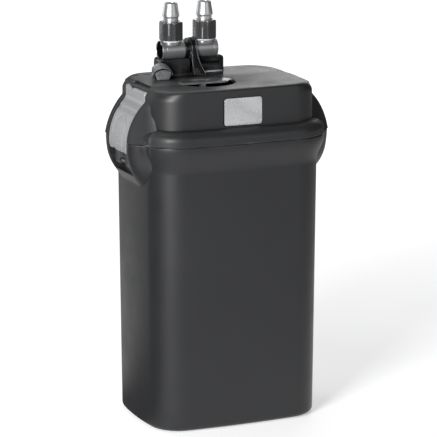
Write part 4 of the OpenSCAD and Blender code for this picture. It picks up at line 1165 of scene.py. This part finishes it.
def backdrop_material():
    """A pale floor that takes the shadow and is pure white to the camera where nothing shades it."""
    material, w, shader = new_material("pale_floor")
    plain = material.node_tree.nodes["Principled BSDF"].outputs[0]
    where = w.place()
    tone = w.spread(w.noise(where, 3.0, 2.0), 0.3, 0.7, 0.80, 0.84)
    w.feed(shader, {"Base Color": w.mix(tone, BLACK, WHITE), "Roughness": 0.85})
    away = w.node("ShaderNodeVectorMath", {0: where}, operation="LENGTH").outputs["Value"]
    glow = w.node("ShaderNodeEmission", {"Color": WHITE, "Strength": w.spread(away, 0.3, 2.5, 0.45, 1.0)})
    both = w.node("ShaderNodeAddShader", {0: plain, 1: glow.outputs[0]})
    ray = w.node("ShaderNodeLightPath").outputs
    seen = w.math("MAXIMUM", ray["Is Camera Ray"], ray["Is Transmission Ray"])
    direct = w.mix_shaders(seen, plain, both.outputs[0])

    # In reflections the floor is bright near the part and dark on its left, like a card laid there
    place = w.split(where)
    turn = w.math("ARCTAN2", w.math("MULTIPLY", place["X"], -1.0), w.math("MULTIPLY", place["Y"], -1.0))
    dark = w.math("MULTIPLY", w.spread(turn, 1.05, 1.45), w.spread(turn, 2.25, 2.65, 1.0, 0.0))
    near = w.spread(away, 0.4, 1.9, 0.85, 0.28)
    strength = w.math("MULTIPLY", near, w.math("SUBTRACT", 1.0, w.math("MULTIPLY", dark, 0.85)))
    sheen = w.node("ShaderNodeEmission", {"Color": WHITE, "Strength": strength})
    final = w.mix_shaders(ray["Is Glossy Ray"], direct, sheen.outputs[0])
    w.feed(material.node_tree.nodes["Material Output"].inputs, {"Surface": final})
    return material


def build_floor(size):
    bm = bmesh.new()
    half = size / 2
    corners = ((-half, -half, 0), (half, -half, 0), (half, half, 0), (-half, half, 0))
    bm.faces.new([bm.verts.new(p) for p in corners])
    bmesh.ops.subdivide_edges(bm, edges=bm.edges, cuts=6, use_grid_fill=True)
    mesh = bpy.data.meshes.new("floor")
    bm.to_mesh(mesh)
    bm.free()
    floor = bpy.data.objects.new("floor", mesh)
    bpy.context.scene.collection.objects.link(floor)
    mesh.materials.append(backdrop_material())


def build_world(strength):
    """Even light from all sides, seen as pure white by the camera alone."""
    world = bpy.data.worlds.new("studio")
    bpy.context.scene.world = world
    world.use_nodes = True
    w = Wiring(world.node_tree)
    fill_light = world.node_tree.nodes["Background"]
    w.feed(fill_light.inputs, {"Color": (0.9, 0.93, 1.0, 1), "Strength": strength})
    white = w.node("ShaderNodeBackground", {"Color": WHITE, "Strength": 1.0})
    ray = w.node("ShaderNodeLightPath").outputs
    both = w.mix_shaders(ray["Is Camera Ray"], fill_light.outputs[0], white.outputs[0])
    w.feed(world.node_tree.nodes["World Output"].inputs, {"Surface": both})


def build_stage(settings):
    scene = bpy.context.scene
    scene.view_settings.view_transform = "Standard"
    build_floor(settings.floor_size)
    build_world(settings.world_strength)
    area_light("top_box", (0.05, 0.55, 1.35), (1.2, 1.1), settings.top_power)
    area_light("left_box", (-0.9, 1.5, 0.6), (0.6, 1.0), settings.left_power)
    area_light("front_box", (0.7, -1.6, 0.7), (0.9, 0.9), settings.front_power)
    area_light("corner_strip", (-1.19, -1.08, 0.75), (0.5, 0.8), settings.corner_power)
    area_light("rear_box", (1.25, 1.8, 0.9), (1.1, 0.6), settings.rear_power)
    camera = bpy.data.objects.new("camera", bpy.data.cameras.new("camera"))
    camera.data.sensor_width = 36.0
    camera.data.lens = settings.lens
    camera.data.clip_start, camera.data.clip_end = 0.05, 20
    put(camera, settings.camera_place, Vector(settings.camera_aim).normalized())
    scene.camera = camera


# Settings, operators and panel


class CanisterSettings(PropertyGroup):
    rim_round: FloatProperty(
        name="Rim rounding", description="Radius of the canister rim's outer edge", default=0.0006,
        min=0.0002, max=0.0015, unit="LENGTH",
    )
    shell_colour: FloatVectorProperty(
        name="Canister colour", description="Colour of the moulded canister",
        default=(0.016, 0.0165, 0.018), min=0, max=1, subtype="COLOR",
    )
    head_colour: FloatVectorProperty(
        name="Head colour", description="Colour of the motor head", default=(0.0155, 0.016, 0.017),
        min=0, max=1, subtype="COLOR",
    )
    clamp_colour: FloatVectorProperty(
        name="Clamp colour", description="Colour of both clamps",
        default=(0.22, 0.225, 0.23), min=0, max=1, subtype="COLOR",
    )


class StageSettings(PropertyGroup):
    floor_size: FloatProperty(
        name="Floor size", description="Side of the square floor", default=30.0, min=2, max=60,
        unit="LENGTH",
    )
    world_strength: FloatProperty(
        name="Fill", description="Strength of the even light from all sides", default=0.08, min=0,
        max=2,
    )
    top_power: FloatProperty(
        name="Top light", description="Power of the soft light above", default=6.5, min=0,
    )
    left_power: FloatProperty(
        name="Left light", description="Power of the soft light on the left", default=4.2, min=0,
    )
    front_power: FloatProperty(
        name="Front light", description="Power of the soft light in front", default=3.0, min=0,
    )
    corner_power: FloatProperty(
        name="Corner strip", description="Power of the narrow light off the near corner", default=33.0,
        min=0,
    )
    rear_power: FloatProperty(
        name="Rear light", description="Power of the soft light behind", default=6.0, min=0,
    )
    lens: FloatProperty(
        name="Lens", description="Focal length in millimetres", default=213.9, min=20, max=400,
    )
    camera_place: FloatVectorProperty(
        name="Camera place", description="Where the camera stands", default=(-1.1564, -2.6973, 0.9070),
        subtype="TRANSLATION", unit="LENGTH",
    )
    camera_aim: FloatVectorProperty(
        name="Camera aim", description="Direction in which the camera looks",
        default=(0.3845, 0.8953, -0.2249), subtype="DIRECTION",
    )


class CANISTER_OT_finishes(Operator):
    """Make the shared shader groups and every material"""

    bl_idname = "canister.finishes"
    bl_label = "Make the finishes"

    def execute(self, context):
        make_finishes(context.scene.canister)
        return {"FINISHED"}


class CANISTER_OT_shell(Operator):
    """Build the moulded canister with its flared collar and lower ears"""

    bl_idname = "canister.shell"
    bl_label = "Build the canister"

    def execute(self, context):
        build_shell(context.scene.canister)
        return {"FINISHED"}


class CANISTER_OT_head(Operator):
    """Build the motor head's cover with its bead, upper ears and deck"""

    bl_idname = "canister.head"
    bl_label = "Build the motor head"

    def execute(self, context):
        build_head()
        return {"FINISHED"}


class CANISTER_OT_clamps(Operator):
    """Build both clamps with their pads, ribs and arms"""

    bl_idname = "canister.clamps"
    bl_label = "Build the clamps"

    def execute(self, context):
        build_clamps()
        return {"FINISHED"}


class CANISTER_OT_valve(Operator):
    """Build the valve's housing, barrels, lock nuts, hose tails, lever and latch"""

    bl_idname = "canister.valve"
    bl_label = "Build the valve"

    def execute(self, context):
        for side, port in (("left", LEFT_PORT), ("right", RIGHT_PORT)):
            build_barrel(side, port)
            build_tail(side, port)
            build_nut(side, port)
        build_washers()
        build_housing()
        build_lever()
        build_cores()
        build_latch()
        return {"FINISHED"}


class CANISTER_OT_primer(Operator):
    """Build the primer's handle"""

    bl_idname = "canister.primer"
    bl_label = "Build the primer"

    def execute(self, context):
        build_primer()
        return {"FINISHED"}


class CANISTER_OT_badge(Operator):
    """Build the badge plate and its seat"""

    bl_idname = "canister.badge"
    bl_label = "Build the badge plate"

    def execute(self, context):
        build_badge()
        return {"FINISHED"}


class CANISTER_OT_dress(Operator):
    """Give every engineering node that stays in view its own finish"""

    bl_idname = "canister.dress"
    bl_label = "Dress the other nodes"

    def execute(self, context):
        dress_nodes()
        return {"FINISHED"}


class CANISTER_OT_stage(Operator):
    """Set the floor, the studio lights and the camera"""

    bl_idname = "canister.stage"
    bl_label = "Set the stage"

    def execute(self, context):
        build_stage(context.scene.canister_stage)
        return {"FINISHED"}


class CANISTER_PT_panel(Panel):
    """The filter's pieces and settings, in the sidebar"""

    bl_label = "Canister filter"
    bl_idname = "CANISTER_PT_panel"
    bl_space_type = "VIEW_3D"
    bl_region_type = "UI"
    bl_category = "Canister"

    def draw(self, context):
        for group in (context.scene.canister, context.scene.canister_stage):
            column = self.layout.column()
            for name in group.__annotations__:
                column.prop(group, name)
        for operator in OPERATORS:
            self.layout.operator(operator.bl_idname)


OPERATORS = (
    CANISTER_OT_stage,
    CANISTER_OT_finishes,
    CANISTER_OT_shell,
    CANISTER_OT_head,
    CANISTER_OT_clamps,
    CANISTER_OT_valve,
    CANISTER_OT_primer,
    CANISTER_OT_badge,
    CANISTER_OT_dress,
)
CLASSES = (CanisterSettings, StageSettings, *OPERATORS, CANISTER_PT_panel)


def register():
    for made in CLASSES:
        bpy.utils.register_class(made)
    bpy.types.Scene.canister = PointerProperty(type=CanisterSettings)
    bpy.types.Scene.canister_stage = PointerProperty(type=StageSettings)


def unregister():
    del bpy.types.Scene.canister_stage
    del bpy.types.Scene.canister
    for made in reversed(CLASSES):
        bpy.utils.unregister_class(made)


def main():
    register()
    for operator in OPERATORS:
        group, name = operator.bl_idname.split(".")
        getattr(getattr(bpy.ops, group), name)()


if __name__ == "__main__":
    main()
